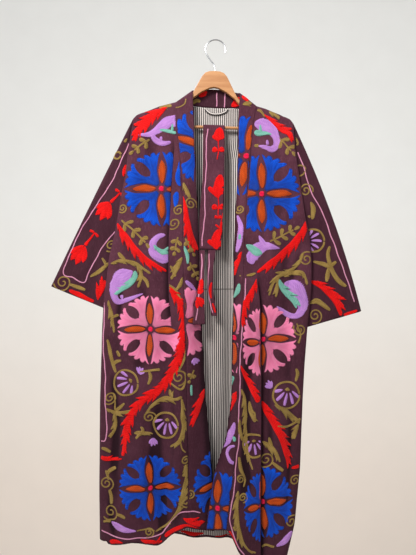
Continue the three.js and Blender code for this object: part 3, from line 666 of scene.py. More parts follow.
# %% Grid of a front
FINE_ROWS = 190
ROLL_ROWS = 12  # rows in the roll over the shoulder
ROLL_SHARE = 0.016  # the share of the length that they cover
BAND_COLUMNS = 16
MAIN_COLUMNS = 56
TAIL_COLUMNS = 16
NEAR_FOLD, PAST_FOLD = 4, 15  # millimetres that are gridded finely at a sharp fold
FOLD_SPAN = (0.05, 0.6)  # the share of the width within which that fold stays
FOLD_STOPS = (0, 0.2, 0.42, 1)  # the shares of the columns before, in and past the fine part
LAP = 9  # how far the cloth turns back in under a sharp fold
PUCKER = 0.5  # height of the little waves beside a seam
PUCKER_REACH = 6  # how far from the seam they fade out
CLOSED = 10  # millimetres of tuck from which the cloth lies folded over the sleeve
ROOT_ROUND = 20  # how far below the tip a sleeve's root takes to reach its full depth
BELOW_SLEEVE, AT_SEAM = 0.9, 0.4  # how far from the middle plane the turned-in cloth then stands
PASSES = 3


def row_places(count):
    """Shares of a panel's length, closer together where it rolls over the shoulder."""
    roll = ROLL_SHARE * (np.arange(ROLL_ROWS) / ROLL_ROWS) ** 2
    return np.concatenate([roll, np.linspace(ROLL_SHARE, 1, count - ROLL_ROWS)])[:, None]


def puckers(away, along):
    """Little waves that stitching pulls up beside a seam or a hem."""
    wave = np.sin(along / 1.9 + 1.7 * np.sin(along / 23)) + 0.6 * np.sin(along / 3.7 + 1)
    return PUCKER * wave * np.exp(-np.abs(away) / PUCKER_REACH)


def tail_points(side, z, along, face, rolled):
    """The cloth beside a side edge, seen from above: round the edge, then in behind it to the seam.

    Each corner of its path is how far in from the edge and how far from the middle plane the cloth
    stands there, from the face on. Beside the sleeve it keeps clear, and below it closes to the seam.
    """
    tuck = look_up(side["tuck"], z, "d")
    behind = np.clip(tuck / CLOSED, 0, 1)
    below = side["tip"][1] - z
    root_half = SLEEVE_HALF * arc(below / ROOT_ROUND)
    sleeve_over = smooth((side["sleeve_ends"] - z) / (side["sleeve_ends"] - side["tuck_over"]))
    beside = mix(root_half + SLEEVE_GAP, BELOW_SLEEVE, sleeve_over)
    end = mix(beside, AT_SEAM, smooth((side["underarm"][1] - 8 - z) / 30))
    corners = (
        (SIDE_ROLL + 0 * z, face),
        (0.45 * SIDE_ROLL + 0 * z, mix(face, beside, 0.06)),
        (mix(0.12, 0.02, behind) * SIDE_ROLL, mix(face, beside, mix(0.35, 0.45, behind))),
        (mix(0.04 * SIDE_ROLL, np.minimum(9, 0.4 * tuck), behind), mix(face, beside, mix(0.7, 1, behind))),
        (mix(0.01 * SIDE_ROLL, np.maximum(0.7 * tuck, tuck - 8), behind),
         mix(face, beside, mix(0.88, 1, behind))),
        (tuck, mix(beside, end, behind)),
    )
    last = len(corners) - 1
    path = [np.stack([mix(SIDE_ROLL * (1 - k / last), inward, rolled), mix(HALF_RIDGE, depth, rolled)], -1)
            for k, (inward, depth) in enumerate(corners)]
    inward, depth = np.moveaxis(through(path, along), -1, 0)
    return line_x(side, "outer", z) - side["out"] * inward, depth


def face_edge(side, z):
    """Where the flat face of a panel ends and the cloth begins to round over."""
    return line_x(side, "outer", z) - side["out"] * SIDE_ROLL


def tails(side, facing, v, shoulders, hem_height, face_at, across):
    """The columns beyond a panel's side edge, from the edge to the seam."""
    found = []
    for s in np.linspace(0, 1, TAIL_COLUMNS + 1)[1:]:
        top = look_up(shoulders, side["tip"][0] - side["out"] * SIDE_ROLL * (1 - s), "z")
        z = mix(top, hem_height(s), v[:, 0])
        face = face_at(face_edge(side, z), z, across)
        x, depth = tail_points(side, z, s, face, arc((top - z) / RIDGE_ROLL))
        found.append(np.stack([x, facing * depth, z], -1))
    return np.stack(found, 1)


def front_grid(side, folds):
    v = row_places(FINE_ROWS)
    out = side["out"]

    def face_at(x, z, across):
        sideways = smooth((across - 0.4) / 0.6)
        broad = mix(look_up(FACE, z, "y", SOFT_FORM), look_up(SIDE, z, "y", SOFT_SIDE), sideways)
        low = smooth((side["tip"][1] - z) / 60)
        return broad - sharp_fold(side, x, z)[1] - (soft_folds(folds, x, z) + rumple(x, z)) * low

    seam_top = (side["shoulder"]["x"][0 if out > 0 else -1], side["shoulder"]["z"][0 if out > 0 else -1])
    edge_top_z = side["edge"]["z"].max()
    bottom_z = side["edge"]["z"].min()
    hem_at_seam = look_up(side["hem"], side["seam_low"], "z")

    t = np.linspace(0, 1, BAND_COLUMNS + 1)[None, :]
    top = mix(edge_top_z, seam_top[1], t)
    z = mix(top, mix(bottom_z, hem_at_seam, t), v)
    rolled = arc((top - z) / RIDGE_ROLL)
    seam_x = line_x(side, "seam", z)
    x = mix(line_x(side, "edge", z), seam_x, t)
    crest = look_up(side["crest"], z, "y", SOFT_FORM) * np.sin(math.pi * t ** 1.6)
    depth = mix(-look_up(side["edge"], z, "y", SOFT_EDGE), face_at(seam_x, z, 0), t) + crest
    depth = depth + puckers((1 - t) * 30, z) + puckers(t * 30, z + 9)
    band = np.stack([x, -mix(HALF_RIDGE, depth, rolled), z], -1)

    share = np.linspace(0, 1, MAIN_COLUMNS + 1)[None, 1:]
    u = share + 0 * v
    # Where a column lies depends on the fold's place at its height, and its height on where it lies,
    # so both are worked out again until they settle.
    for _ in range(PASSES):
        top_x = mix(seam_top[0], side["tip"][0] - out * SIDE_ROLL, u)
        top = look_up(side["shoulder"], top_x, "z")
        hem_x = mix(side["seam_low"], side["out_low"] - out * SIDE_ROLL, u)
        z = mix(top, hem_at(side, hem_x), v)
        seam_x, inner_x = line_x(side, "seam", z), face_edge(side, z)
        fold_at = np.clip((fold_at_height(side, z) - seam_x) / (inner_x - seam_x), *FOLD_SPAN)
        wide = np.abs(inner_x - seam_x)
        before, after = NEAR_FOLD / wide, PAST_FOLD / wide
        if side["crease"]["recedes"] * out < 0:
            before, after = after, before
        knots = [np.maximum(k, 0) + 0 * z for k in (0, fold_at - before, fold_at + after, 1)]
        u = knots[0]
        for k, (low, high) in enumerate(zip(FOLD_STOPS, FOLD_STOPS[1:])):
            u = u + (knots[k + 1] - knots[k]) * np.clip((share - low) / (high - low), 0, 1)
    x = mix(seam_x, inner_x, u)
    rolled = arc((top - z) / RIDGE_ROLL)
    depth = face_at(x, z, u) + puckers(np.abs(x - seam_x), z + 4)
    depth = depth + puckers(z - hem_at(side, hem_x), x) * 0.8
    away, _ = sharp_fold(side, x, z)
    here = faded(side["crease"]["path"]["z"], z)
    x = x - side["crease"]["recedes"] * LAP * here * smooth(away / 6) * np.exp(-(away / 12) ** 2)
    main = np.stack([x, -mix(HALF_RIDGE, depth, rolled), z], -1)

    def hem_height(s):
        return hem_at(side, side["out_low"] - out * 8 * (1 - s))

    return np.concatenate([band, main, tails(side, -1, v, side["shoulder"], hem_height, face_at, 1)], 1)


def squared(grid, normals, columns):
    """Along the shoulder seam both rims meet flat, so the normals there point straight up."""
    for j in columns:
        a, b = grid[0, max(j - 1, columns[0])], grid[0, min(j + 1, columns[-1])]
        along = (b - a) * (1, 0, 1)
        size = np.linalg.norm(along)
        along = along / size if size > TINY else np.array((1.0, 0, 0))
        normals[0, j] = (-along[2], 0, along[0]) if along[0] > 0 else (along[2], 0, -along[0])


def cut_columns(grid, normals, start, stop, seam_at):
    """Some columns of a grid, with the cut one drawn back by half a seam."""
    cut = grid[:, start:stop + 1].copy()
    inside = grid[:, seam_at + (1 if seam_at == start else -1)] - grid[:, seam_at]
    inside /= np.maximum(np.linalg.norm(inside, axis=1, keepdims=True), TINY)
    cut[:, 0 if seam_at == start else -1] += inside * (SEAM / 2)
    return cut, normals[:, start:stop + 1]


def flat_places(grid):
    """Where each point of a panel lay on the flat cloth: its width across, and its height."""
    steps = np.linalg.norm(np.diff(grid, axis=1), axis=2)
    middle = grid.shape[1] // 2
    width = np.concatenate([np.zeros((len(grid), 1)), np.cumsum(steps, 1)], 1)
    width = width - width[:, middle:middle + 1] + grid[:, middle:middle + 1, 0]
    return np.stack([width, grid[..., 2]], -1)


PANELS = {}


def build_front(name, side, folds):
    grid = front_grid(side, folds)
    normals = grid_normals(grid, (0, -1, 0))
    last = grid.shape[1] - 1
    squared(grid, normals, list(range(last + 1)))
    normals[ROLL_ROWS:, last] = (0, 1, 0)
    PANELS[name] = grid
    flat = flat_places(grid)
    # Painted shade in folds, none on the cloth turned in beside the edge.
    fold_shade = shade_from_folds(grid, -1)
    fold_shade[:, -TAIL_COLUMNS:] = 0
    band = cut_columns(grid, normals, 0, BAND_COLUMNS, BAND_COLUMNS)
    front = cut_columns(grid, normals, BAND_COLUMNS, last, BAND_COLUMNS)
    band_piece = walled("band_" + name, *band, CLOTH, PLUM_COTTON,
                        cloth=flat[:, :BAND_COLUMNS + 1], fold_shade=fold_shade[:, :BAND_COLUMNS + 1])
    front_piece = walled("front_" + name, *front, CLOTH, PLUM_COTTON,
                         cloth=flat[:, BAND_COLUMNS:], fold_shade=fold_shade[:, BAND_COLUMNS:])
    return front_piece, band_piece


front_left, band_left = build_front("left", LEFT, FOLDS_LEFT)
front_right, band_right = build_front("right", RIGHT, FOLDS_RIGHT)

# %% [markdown]
# ## The back and its lining
#
# The back is one wide panel. It hangs behind the hanger, from the same shoulder line as the fronts, and
# its sides turn in to meet them. The striped lining lies just inside it and is what shows between the
# open fronts.

# %% Grid of the back
BACK_COLUMNS = 84
NECK_DROP = 0.4  # what the back lies below the neck band, besides the seam
LINING_TURN = 0.996  # the share of the length where the hem is turned up over the lining
LINING_FIRST = 4  # the row of the back where the lining begins


def back_grid():
    v = row_places(FINE_ROWS)
    seams = [(x, z - SEAM - NECK_DROP, y)
             for x, y, z in zip(NECK["seam_x"], NECK["seam_y"], NECK["seam_z"])]
    ends = [(x, z, HALF_RIDGE) for side in (LEFT, RIGHT)
            for x, z in zip(side["shoulder"]["x"], side["shoulder"]["z"]) if x not in NECK_ENDS]
    shoulders = rows("x z y", *seams, *ends)

    def face_at(x, z, across):
        edge = smooth((np.abs(across - 0.5) - 0.28) / 0.22)
        broad = mix(look_up(BACK_FACE, z, "y", SOFT_FORM), look_up(SIDE, z, "y", SOFT_SIDE), edge)
        low = smooth((-200 - z) / 60)
        return broad + (soft_folds(FOLDS_BACK, x, z) + rumple(x, z + 300)) * (1 - edge) * low

    u = np.linspace(0, 1, BACK_COLUMNS + 1)[None, :]
    top_x = mix(LEFT["tip"][0] + SIDE_ROLL, RIGHT["tip"][0] - SIDE_ROLL, u)
    top = look_up(shoulders, top_x, "z")
    hem_x = mix(LEFT["out_low"] + SIDE_ROLL, RIGHT["out_low"] - SIDE_ROLL, u)
    hem_z = look_up(BACK_HEM, hem_x, "z", SOFT_FORM)
    z = mix(top, hem_z, v)
    x = mix(face_edge(LEFT, z), face_edge(RIGHT, z), u)
    rolled = arc((top - z) / RIDGE_ROLL)
    depth = face_at(x, z, u + 0 * z) + puckers(z - hem_z, x)
    main = np.stack([x, mix(look_up(shoulders, top_x, "y"), depth, rolled), z], -1)
    left, right = (tails(side, 1, v, shoulders, lambda s, x=side["out_low"]: look_up(BACK_HEM, x, "z"),
                         face_at, across) for across, side in enumerate((LEFT, RIGHT)))
    return np.concatenate([left[:, ::-1], main, right], 1)


# %% Back and lining
def build_back():
    grid = back_grid()
    normals = grid_normals(grid, (0, 1, 0))
    last = grid.shape[1] - 1
    over = [j for j in range(last + 1) if grid[0, j, 0] < NECK_ENDS[0] or grid[0, j, 0] > NECK_ENDS[1]]
    squared(grid, normals, [j for j in over if grid[0, j, 0] < 0])
    squared(grid, normals, [j for j in over if grid[0, j, 0] > 0])
    normals[ROLL_ROWS:, [0, last]] = (0, -1, 0)
    PANELS["back"] = grid
    flat = flat_places(grid)
    # Painted shade in folds, none on the cloth turned in beside the edges.
    fold_shade = shade_from_folds(grid, 1)
    fold_shade[:, :TAIL_COLUMNS] = fold_shade[:, -TAIL_COLUMNS:] = 0
    piece = walled("back", grid, normals, CLOTH, PLUM_COTTON, cloth=flat, fold_shade=fold_shade)
    keep = slice(TAIL_COLUMNS + 1, last - TAIL_COLUMNS)
    lower = int(LINING_TURN * FINE_ROWS)
    inside = (grid - normals * (CLOTH + SEAM))[:, keep]
    over_neck = [j for j in range(inside.shape[1]) if j + TAIL_COLUMNS + 1 not in over]
    inside[LINING_FIRST, over_neck] = inside[1, over_neck]
    every_other = slice(LINING_FIRST, lower, 2)
    lining = walled("lining_back", inside[every_other], normals[every_other, keep], LINING, STRIPED,
                    cloth=flat[every_other, keep])
    return piece, lining


back, lining_back = build_back()

# %% [markdown]
# ## The neck band
#
# The band goes on round the back of the neck, standing up a little behind the hanger.

# %% Neck band
NECK_COLUMNS = 57
NECK_ROWS = 9


def build_neck_band():
    columns = np.linspace(0, 1, NECK_COLUMNS)
    seam = list(np.stack([NECK["seam_x"], NECK["seam_y"], NECK["seam_z"]], 1))
    edge = list(np.stack([NECK["edge_x"], NECK["edge_y"], NECK["edge_z"]], 1))
    low = np.array([through(seam, s) for s in columns])
    high = np.array([through(edge, s) for s in columns])
    grid = np.stack([mix(low, high, w) for w in np.linspace(0, 1, NECK_ROWS)])
    grid[1:-1, :, 1] += 0.5 * np.sin(grid[1:-1, :, 0] / 7) * np.sin(columns * math.pi)
    normals = grid_normals(grid, (0, 1, 0))
    for j in (0, -1):
        across = (grid[-1, j] - grid[0, j]) * (1, 0, 1)
        across /= np.linalg.norm(across)
        normals[:, j] = (-across[2], 0, across[0]) if across[0] > 0 else (across[2], 0, -across[0])
    PANELS["neck"] = grid - normals * CLOTH
    return walled("band_neck", grid, normals, CLOTH, PLUM_SHADED_COTTON)


band_neck = build_neck_band()

# %% [markdown]
# ## The sleeves
#
# Wide sleeves, flattened as they hang, with their roots lying between the folded edges of the front and
# the back. Each is one tube: a closed ring of points at each place from the root to the cuff.

# %% Sleeves
AROUND = 44  # points on one side of a sleeve, from its top edge to its lower one
SLEEVE_ROWS = 84
CUFF_WIDE = 190
SLEEVE_ROUND = 20  # how far in from an edge a sleeve rounds off
# Where each long crease starts, as a share of the width, then its depth and how strongly it shows.
SLEEVE_CREASES = ((0.25, 2.2, 0.30), (0.47, -2.6, 0.22), (0.66, 1.8, 0.28), (0.12, -1.6, 0.24))


def build_sleeve(name, side):
    out, bow = side["out"], side["bow"]
    root_top = (side["tip"][0] + out * 2.5, side["tip"][1] - 4)
    under, cuff_top, cuff_low = side["underarm"], side["cuff_top"], side["cuff_low"]
    half = 0.5 - 0.5 * np.cos(np.linspace(0, math.pi, AROUND))
    w = np.concatenate([half, half[-2:0:-1]])[None, :]
    face = np.concatenate([-np.ones(AROUND), np.ones(AROUND - 2)])[None, :]
    t = np.linspace(0, 1, SLEEVE_ROWS)[:, None]
    root_z = mix(root_top[1], under[1], w)
    root_x = look_up(side["outer"], root_z, "x") + out * (2.2 - 0.85 * look_up(side["tuck"], root_z, "d"))
    root_x = np.where(w <= 0, root_top[0], np.where(w >= 1, under[0], root_x))
    bulge = out * bow * 4 * t * (1 - t) * (1 - w) ** 2
    x = mix(root_x, mix(cuff_top[0], cuff_low[0], w), t) + bulge
    z = mix(root_z, mix(cuff_top[1], cuff_low[1], w), t)
    width = mix(root_top[1] - under[1], CUFF_WIDE, t)
    round_off = arc(w * width / SLEEVE_ROUND) * arc((1 - w) * width / SLEEVE_ROUND)
    free = t * (1 - smooth(w / 0.6))
    drape = 2.2 * np.sin(math.pi * (4.2 * w + 0.9 * t)) * t * (1 - smooth(w / 0.62))
    inside = smooth(t / 0.2) * (1 - smooth((w - 0.55) / 0.2))
    creases = sum(deep * np.exp(-((w - at - 0.12 * t) / 0.035) ** 2) * np.sin(math.pi * t) ** 2 * reach * 3
                  for at, deep, reach in SLEEVE_CREASES)
    fine = (creases + rumple(x + 90 * face, z) + puckers((1 - t) * 200, z)) * inside
    y = face * (SLEEVE_HALF + 4 * free + drape + fine * 0.6) * round_off
    grid = np.stack([x, y, z], -1)
    normals = grid_normals(grid, (0, -1, 0), True)
    PANELS["sleeve_" + name] = grid
    length = np.concatenate([np.zeros((1, grid.shape[1])),
                             np.cumsum(np.linalg.norm(np.diff(grid, axis=0), axis=2), 0)])
    girth = np.cumsum(np.linalg.norm(grid - np.roll(grid, 1, 1), axis=2), 1)
    return walled("sleeve_" + name, grid, normals, CLOTH, PLUM_SHADED_COTTON, around=True,
                  cloth=np.stack([girth, length], -1))


sleeve_left = build_sleeve("left", LEFT)
sleeve_right = build_sleeve("right", RIGHT)

# %% [markdown]
# ## The sash and the hanging loop
#
# The sash is a long strip of the plum cloth, folded in half over the hanger's bar. Its two ends come
# out below as twisted tails. The loop at the neck is a folded scrap of the lining.

# %% Sash, tails and loop
BELT_COLUMNS = 15
BELT_ROWS = 44  # rows of the hanging part on each side of the bar
BELT_OVER = 21  # rows of the part that goes over it
BELT_IN_FRONT = 54  # rows of the sash that can be seen and are embroidered
TAIL_ROWS = 64
TAIL_WIDE = 11
LOOP_COLUMNS = 61
LOOP_HALF = 3  # half the loop's width
LOOP_PLACES = np.linspace(-LOOP_HALF, LOOP_HALF, 7)


def build_belt():
    radius = BAR_R + BELT_CLEAR + BELT_WALL
    run = np.linspace(0.06, 1, BELT_ROWS)
    bottom = BELT["z"].min()
    down = [(radius * 1.02, mix(BAR_Z, bottom, share)) for share in run]
    turn = np.linspace(0, math.pi, BELT_OVER)
    over = [(-radius * math.cos(a), BAR_Z + radius * math.sin(a)) for a in turn]
    path = [(-y, z) for y, z in down[::-1]] + over + down
    grid = np.zeros((len(path), BELT_COLUMNS, 3))
    t = np.linspace(0, 1, BELT_COLUMNS)
    for i, (y, z) in enumerate(path):
        x = mix(look_up(BELT, z, "left", 10), look_up(BELT, z, "right", 10), t)
        bend = 0.7 * np.sin(x / 9 + z / 37) * smooth((BAR_Z - 20 - z) / 40) * (1 if y < 0 else -1)
        hem = 0.5 * (np.exp(-((t - 0.06) / 0.04) ** 2) + np.exp(-((t - 0.94) / 0.04) ** 2))
        grid[i] = np.stack([x, y + bend + np.sign(y) * hem * 0.6,
                            z - (x - HANGER_X) * math.tan(HANGER_TILT)], -1)
    normals = grid_normals(grid, (0, 0, 1))
    length = np.cumsum(np.concatenate([[0], np.hypot(*np.diff(np.array(path), axis=0).T)]))
    PANELS["belt"] = grid[:BELT_IN_FRONT]
    cloth = np.stack([grid[..., 0], np.repeat(length[:, None], BELT_COLUMNS, 1)], -1)
    return walled("belt", grid, normals, BELT_WALL * 0.9, PLUM_COTTON, cloth=cloth)


def build_tail(name, table):
    left = [np.array([lx, ly, z], float) for z, lx, ly, rx, ry in table]
    right = [np.array([rx, ry, z], float) for z, lx, ly, rx, ry in table]
    places = np.linspace(0, 1, TAIL_ROWS)
    low = np.array([through(left, s) for s in places])
    high = np.array([through(right, s) for s in places])
    grid = np.stack([mix(low, high, t) for t in np.linspace(0, 1, TAIL_WIDE)], 1)
    normals = grid_normals(grid, (0, -1, 0))
    PANELS["tail_" + name] = grid
    return walled("belt_tail_" + name, grid, normals, BELT_WALL, PLUM_COTTON)


def build_loop():
    path = [np.array([x, LOOP_Y, z], float) for x, z in LOOP]
    line = np.array([through(path, s) for s in np.linspace(0, 1, LOOP_COLUMNS)])
    down = np.gradient(line, axis=0)
    down /= np.linalg.norm(down, axis=1, keepdims=True)
    up = np.stack([-down[:, 2], 0 * down[:, 0], down[:, 0]], 1)
    grid = np.stack([line + up * w - (0, 0.6 - 0.25 * (w / LOOP_HALF) ** 2, 0) for w in LOOP_PLACES], 1)
    normals = grid_normals(grid, (0, -1, 0))
    cloth = np.stack(np.meshgrid(LOOP_PLACES, np.arange(LOOP_COLUMNS) * 1.1), -1)
    return walled("hanging_loop", grid, normals, 1.2, STRIPED, cloth=cloth)


belt = build_belt()
tail_left = build_tail("left", TAIL_LEFT)
tail_right = build_tail("right", TAIL_RIGHT)
build_loop()

# %% [markdown]
# ## The hanger
#
# Flat wood with a clear varnish, a round bar and a bent steel wire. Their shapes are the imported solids
# themselves, so only their finishes are made here.

# %% Wood and steel
WOOD_PALE = colour(192, 138, 88)
WOOD_MID = colour(172, 116, 68)
WOOD_DARK = colour(132, 80, 42)


def varnished_wood():
    nodes = Nodes("varnished_wood", Roughness=0.42, Coat_Weight=0.35, Coat_Roughness=0.2)
    place = nodes.add("TexCoord", output="Object")
    rings = nodes.noise(nodes.stretched(place, (7, 60, 95)), 1.0, 4, 0.55)
    pores = nodes.noise(nodes.stretched(place, (60, 900, 900)), 1.0, 2)
    grain = nodes.blend(rings.between(0.32, 0.68), WOOD_MID, WOOD_PALE)
    nodes.feed(Base_Color=nodes.blend(pores.between(0.58, 0.75) * 0.55, grain, WOOD_DARK))
    nodes.feed(Roughness=0.36 + pores * 0.18)
    return nodes.raise_by(rings * 0.5 - pores * 0.6, 0.0002, 0.4)


def bent_steel():
    nodes = Nodes("bent_steel", Metallic=1.0)
    place = nodes.add("TexCoord", output="Object")
    drawn = nodes.noise(place, 700, 2)
    tarnish = nodes.noise(place, 60, 3)
    nodes.feed(Base_Color=nodes.blend(tarnish, colour(206, 208, 210), colour(160, 160, 162)))
    nodes.feed(Roughness=0.2 + drawn * 0.16)
    return nodes.raise_by(drawn, 0.00005, 0.3)


def finish_node(name, material):
    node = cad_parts[name]
    node.data.materials.clear()
    node.data.materials.append(material)


WOOD = varnished_wood()
finish_node("hanger_body", WOOD)
finish_node("hanger_bar", WOOD)
finish_node("hanger_hook", bent_steel())

# %% [markdown]
# ## How the embroidery is made
#
# On the real jacket a motif is drawn on the cloth and filled with rows of chain stitch, which makes a
# low pad with a rounded rim. Here each motif is a small grid in the plane of the panel, bent along its
# own middle line. The grid is then laid on the cloth: a straight line from in front of each point finds
# the cloth, and the point is lifted off it along the normal. The rim is sunk a little, so no gap shows.

# %% Laying points on a panel
PAD = 1.15  # height of filled embroidery above the cloth
SUNK = 0.35  # how far its rim goes down into the cloth
FAR = 400  # how far in front of the cloth a line starts


class Surface:
    """One face of a panel, seen from the front (-1) or from the back (+1)."""

    def __init__(self, grid, faces_to, around=False):
        quads = grid_quads(*grid.shape[:2], around)
        self.tree = BVHTree.FromPolygons(grid.reshape(-1, 3).tolist(), quads.tolist())
        self.faces_to = faces_to

    def lay(self, x, z, lift):
        """Points lifted off the cloth. A point with no cloth behind it comes back as nan."""
        start, away = self.faces_to * FAR, Vector((0, -self.faces_to, 0))
        found = np.full((x.size, 3), np.nan)
        places = zip(*(values.ravel().tolist() for values in (x, z, lift)))
        for k, (px, pz, up) in enumerate(places):
            hit, normal, _, _ = self.tree.ray_cast(Vector((px, start, pz)), away)
            if hit is not None:
                if normal.y * self.faces_to < 0:
                    normal = -normal
                found[k] = hit + normal * up
        return found


SURFACES = {name: Surface(grid, -1, name.startswith("sleeve")) for name, grid in PANELS.items()}
SURFACES["back_inside"] = SURFACES["back"]
SURFACES["back"] = Surface(PANELS["back"], 1)
for name in ("sleeve_left", "sleeve_right"):
    SURFACES[name + "_rear"] = Surface(PANELS[name], 1, True)
print("surfaces", len(SURFACES))

# %% [markdown]
# ## Where a motif may lie
#
# Cloth that lies over cloth breaks a pattern, so each motif belongs to one stretch of its panel: the
# main part beyond the sharp fold, the strip between the fold and the seam, or the band. Whatever
# reaches past its stretch is drawn back to the stretch's edge and ends there.

# %% Stretches of a front
CLEAR = 1.6  # kept free at both edges of a stretch
HEM_CLEAR = 3  # and above the hem
FOLD_SHOWS = 0.15  # from this share of its depth a sharp fold breaks the pattern


def fold_line(side, z, if_none):
    here = faded(side["crease"]["path"]["z"], z) > FOLD_SHOWS
    return np.where(here, fold_at_height(side, z), line_x(side, if_none, z))


def stretch(side, name, z):
    """The lowest and highest x of a stretch at each height."""
    outer = line_x(side, "outer", z) - side["out"] * 2
    seam = line_x(side, "seam", z)
    edge = line_x(side, "edge", z)
    ends = dict(
        main=(outer, fold_line(side, z, "seam")),
        strip=(fold_line(side, z, "outer"), seam),
        front=(outer, seam),
        band=(seam, edge),
        inner=(fold_line(side, z, "outer"), edge),
        all=(outer, edge),
    )[name]
    return np.minimum(*ends) + CLEAR, np.maximum(*ends) - CLEAR


def confine(panel, region, x, z):
    """Draws points back into their stretch, and says which of them were outside."""
    if panel not in ("left", "right"):
        return x, z, np.zeros(x.shape, bool)
    side = LEFT if panel == "left" else RIGHT
    new_z = np.maximum(z, hem_at(side, x) + HEM_CLEAR)
    low, high = stretch(side, region, new_z)
    new_x = np.clip(x, low, high)
    outside = (np.abs(new_x - x) > 0.01) | (new_z > z + 0.01)
    return new_x, new_z, outside


SEWN = {}  # the patches of each panel and thread


def sew(panel, region, thread_name, x, z, rise, along, across, pad=PAD):
    """Keeps one motif's grid until all the motifs of its thread are joined.

    Drawn by hand, no line is quite straight, so each is shifted by a slow wave and a quick one.
    """
    wobble_x = 1.3 * np.sin(z / 21 + 2 * np.sin(x / 47)) + 0.5 * np.sin(z / 7.1 + x / 19)
    wobble_z = 1.3 * np.sin(x / 19 + 1.4 * np.sin(z / 53)) + 0.5 * np.sin(x / 6.7 - z / 23)
    x, z, outside = confine(panel, region, x + wobble_x, z + wobble_z)
    lift = np.where(outside, -SUNK, rise * (pad + SUNK) - SUNK)
    points = SURFACES[panel].lay(x, z, lift)
    quads = grid_quads(*x.shape)
    gone = outside.ravel()[quads].all(1) | np.isnan(points[quads, 0]).any(1)
    quads = quads[~gone]
    if len(quads):
        group = SEWN.setdefault((panel.removesuffix("_rear"), thread_name), [])
        # The third value, the rise, also sets the painted shade along a pad's rim.
        stitch = np.stack([along * MM + 0 * x, across * MM + 0 * x, np.where(outside, 0, rise)], -1)
        group.append((points, quads, stitch.reshape(-1, 3), SURFACES[panel].faces_to))


# %% [markdown]
# ## Three kinds of motif
#
# Nearly everything is a **stroke**: a line of given points, each with half the stroke's width
# there. A vine is a thin stroke, a leaf a wide one with teeth cut into its sides, a paisley a very wide
# one that curls. A **rosette** has four lobes with fringed ends, each notched by an oval, with pointed
# petals between them. A **coil** is a stroke that winds in on itself.

# %% Strokes
STEP = 2.1  # millimetres between the rows of a stroke's grid
# Where the points across a stroke lie, from edge to edge, and how high each stands.
WIDE = ((-1, -0.9, -0.55, 0, 0.55, 0.9, 1), (0, 0.85, 1, 1, 1, 0.85, 0))
NARROW = ((-1, -0.6, 0, 0.6, 1), (0, 0.8, 1, 0.8, 0))
THIN = 2.8  # half the width up to which the narrow grid will do
THINNEST = 0.6
VINE = 2.6  # half the width of a thin vine
LINE = 1.7  # half the width of the pink outline
TOOTH = 26.0  # from one tooth of a saw-edged leaf to the next
LEAN = 0.7  # how far a tooth leans towards the leaf's tip
SAWN = 0.72  # how much of a saw-edged leaf's width is left on a side without teeth
TOOTH_ROOT = 0.6  # and between two teeth
TIP = 0.05  # the share of its width with which a stroke starts and ends
VINE_END = 1.2  # how much longer than their width olive strokes taper off
FRAY = 0.05  # how unevenly a filled shape ends
# Threads that lie over others stand a little higher.
OVER = dict(mint=1.4, red=1.2, olive=1.12, pale_pink=1.3)


def spline(points, step):
    """Points along a smooth curve through given ones, about `step` apart."""
    points = np.array(points, float)
    spans = np.linalg.norm(np.diff(points[:, :2], axis=0), axis=1)
    padded = np.concatenate([2 * points[:1] - points[1:2], points, 2 * points[-1:] - points[-2:-1]])
    found = []
    for k, span in enumerate(spans):
        t = np.linspace(0, 1, max(2, int(round(span / step)) + 1))[:, None]
        t = t if k == len(spans) - 1 else t[:-1]
        a, b, c, d = padded[k:k + 4]
        found.append(0.5 * (2 * b + (c - a) * t + (2 * a - 5 * b + 4 * c - d) * t ** 2
                            + (3 * b - 3 * c + d - a) * t ** 3))
    return np.concatenate(found)


def stroke(panel, region, thread_name, points, teeth="", pad=PAD):
    """A filled line through points, with teeth on its side "a", its side "b" or both."""
    x, z, half = spline(points, STEP).T
    half = np.maximum(half, THINNEST)
    steps = np.hypot(np.gradient(x), np.gradient(z))
    length = np.concatenate([[0], np.cumsum(np.hypot(np.diff(x), np.diff(z)))])
    blunt = half.max() * (VINE_END if thread_name == "olive" else 1.0)
    for past in (length, length[-1] - length):
        half = half * np.maximum(arc(past / blunt), TIP)
    half = half * (1 + FRAY * (np.sin(length * 0.86 + x) + 0.7 * np.sin(length * 2.03 + z / 3)))
    side_x, side_z = -np.gradient(z) / steps, np.gradient(x) / steps
    places, rise = np.array(WIDE if half.max() > THIN else NARROW, float)
    cut = np.full((len(x), len(places)), SAWN if teeth else 1.0)
    for name, late, sign in (("a", 0.0, 1), ("b", 0.45, -1)):
        if name in teeth:
            place = length / TOOTH + late + 0.12 * np.sin(length / 9 + sign)
            tooth = 1.25 * (place % 1) ** 1.3 + 0.3 * (3 * place % 1)
            cut[:, places * sign > 0] = TOOTH_ROOT + tooth[:, None]
    offset = places[None, :] * half[:, None] * cut
    onward = np.maximum(cut - 0.8, 0) * np.abs(offset) * LEAN
    rise = rise[None, :] * np.ones((len(x), 1))
    rise[[0, -1]] = 0
    sew(panel, region, thread_name, x[:, None] + side_x[:, None] * offset + side_z[:, None] * onward,
        z[:, None] + side_z[:, None] * offset - side_x[:, None] * onward, rise,
        length[:, None], offset, pad)


# %% Coils, rings, sprigs, tulips and fans
TENDRIL = 0.3  # the length of a coil's loose tail, as a share of the coil
COIL_TURNS = 1.4
COIL_STEPS = 15  # points for each turn
COIL_THIN = 0.88  # how thin its line is beside a vine's


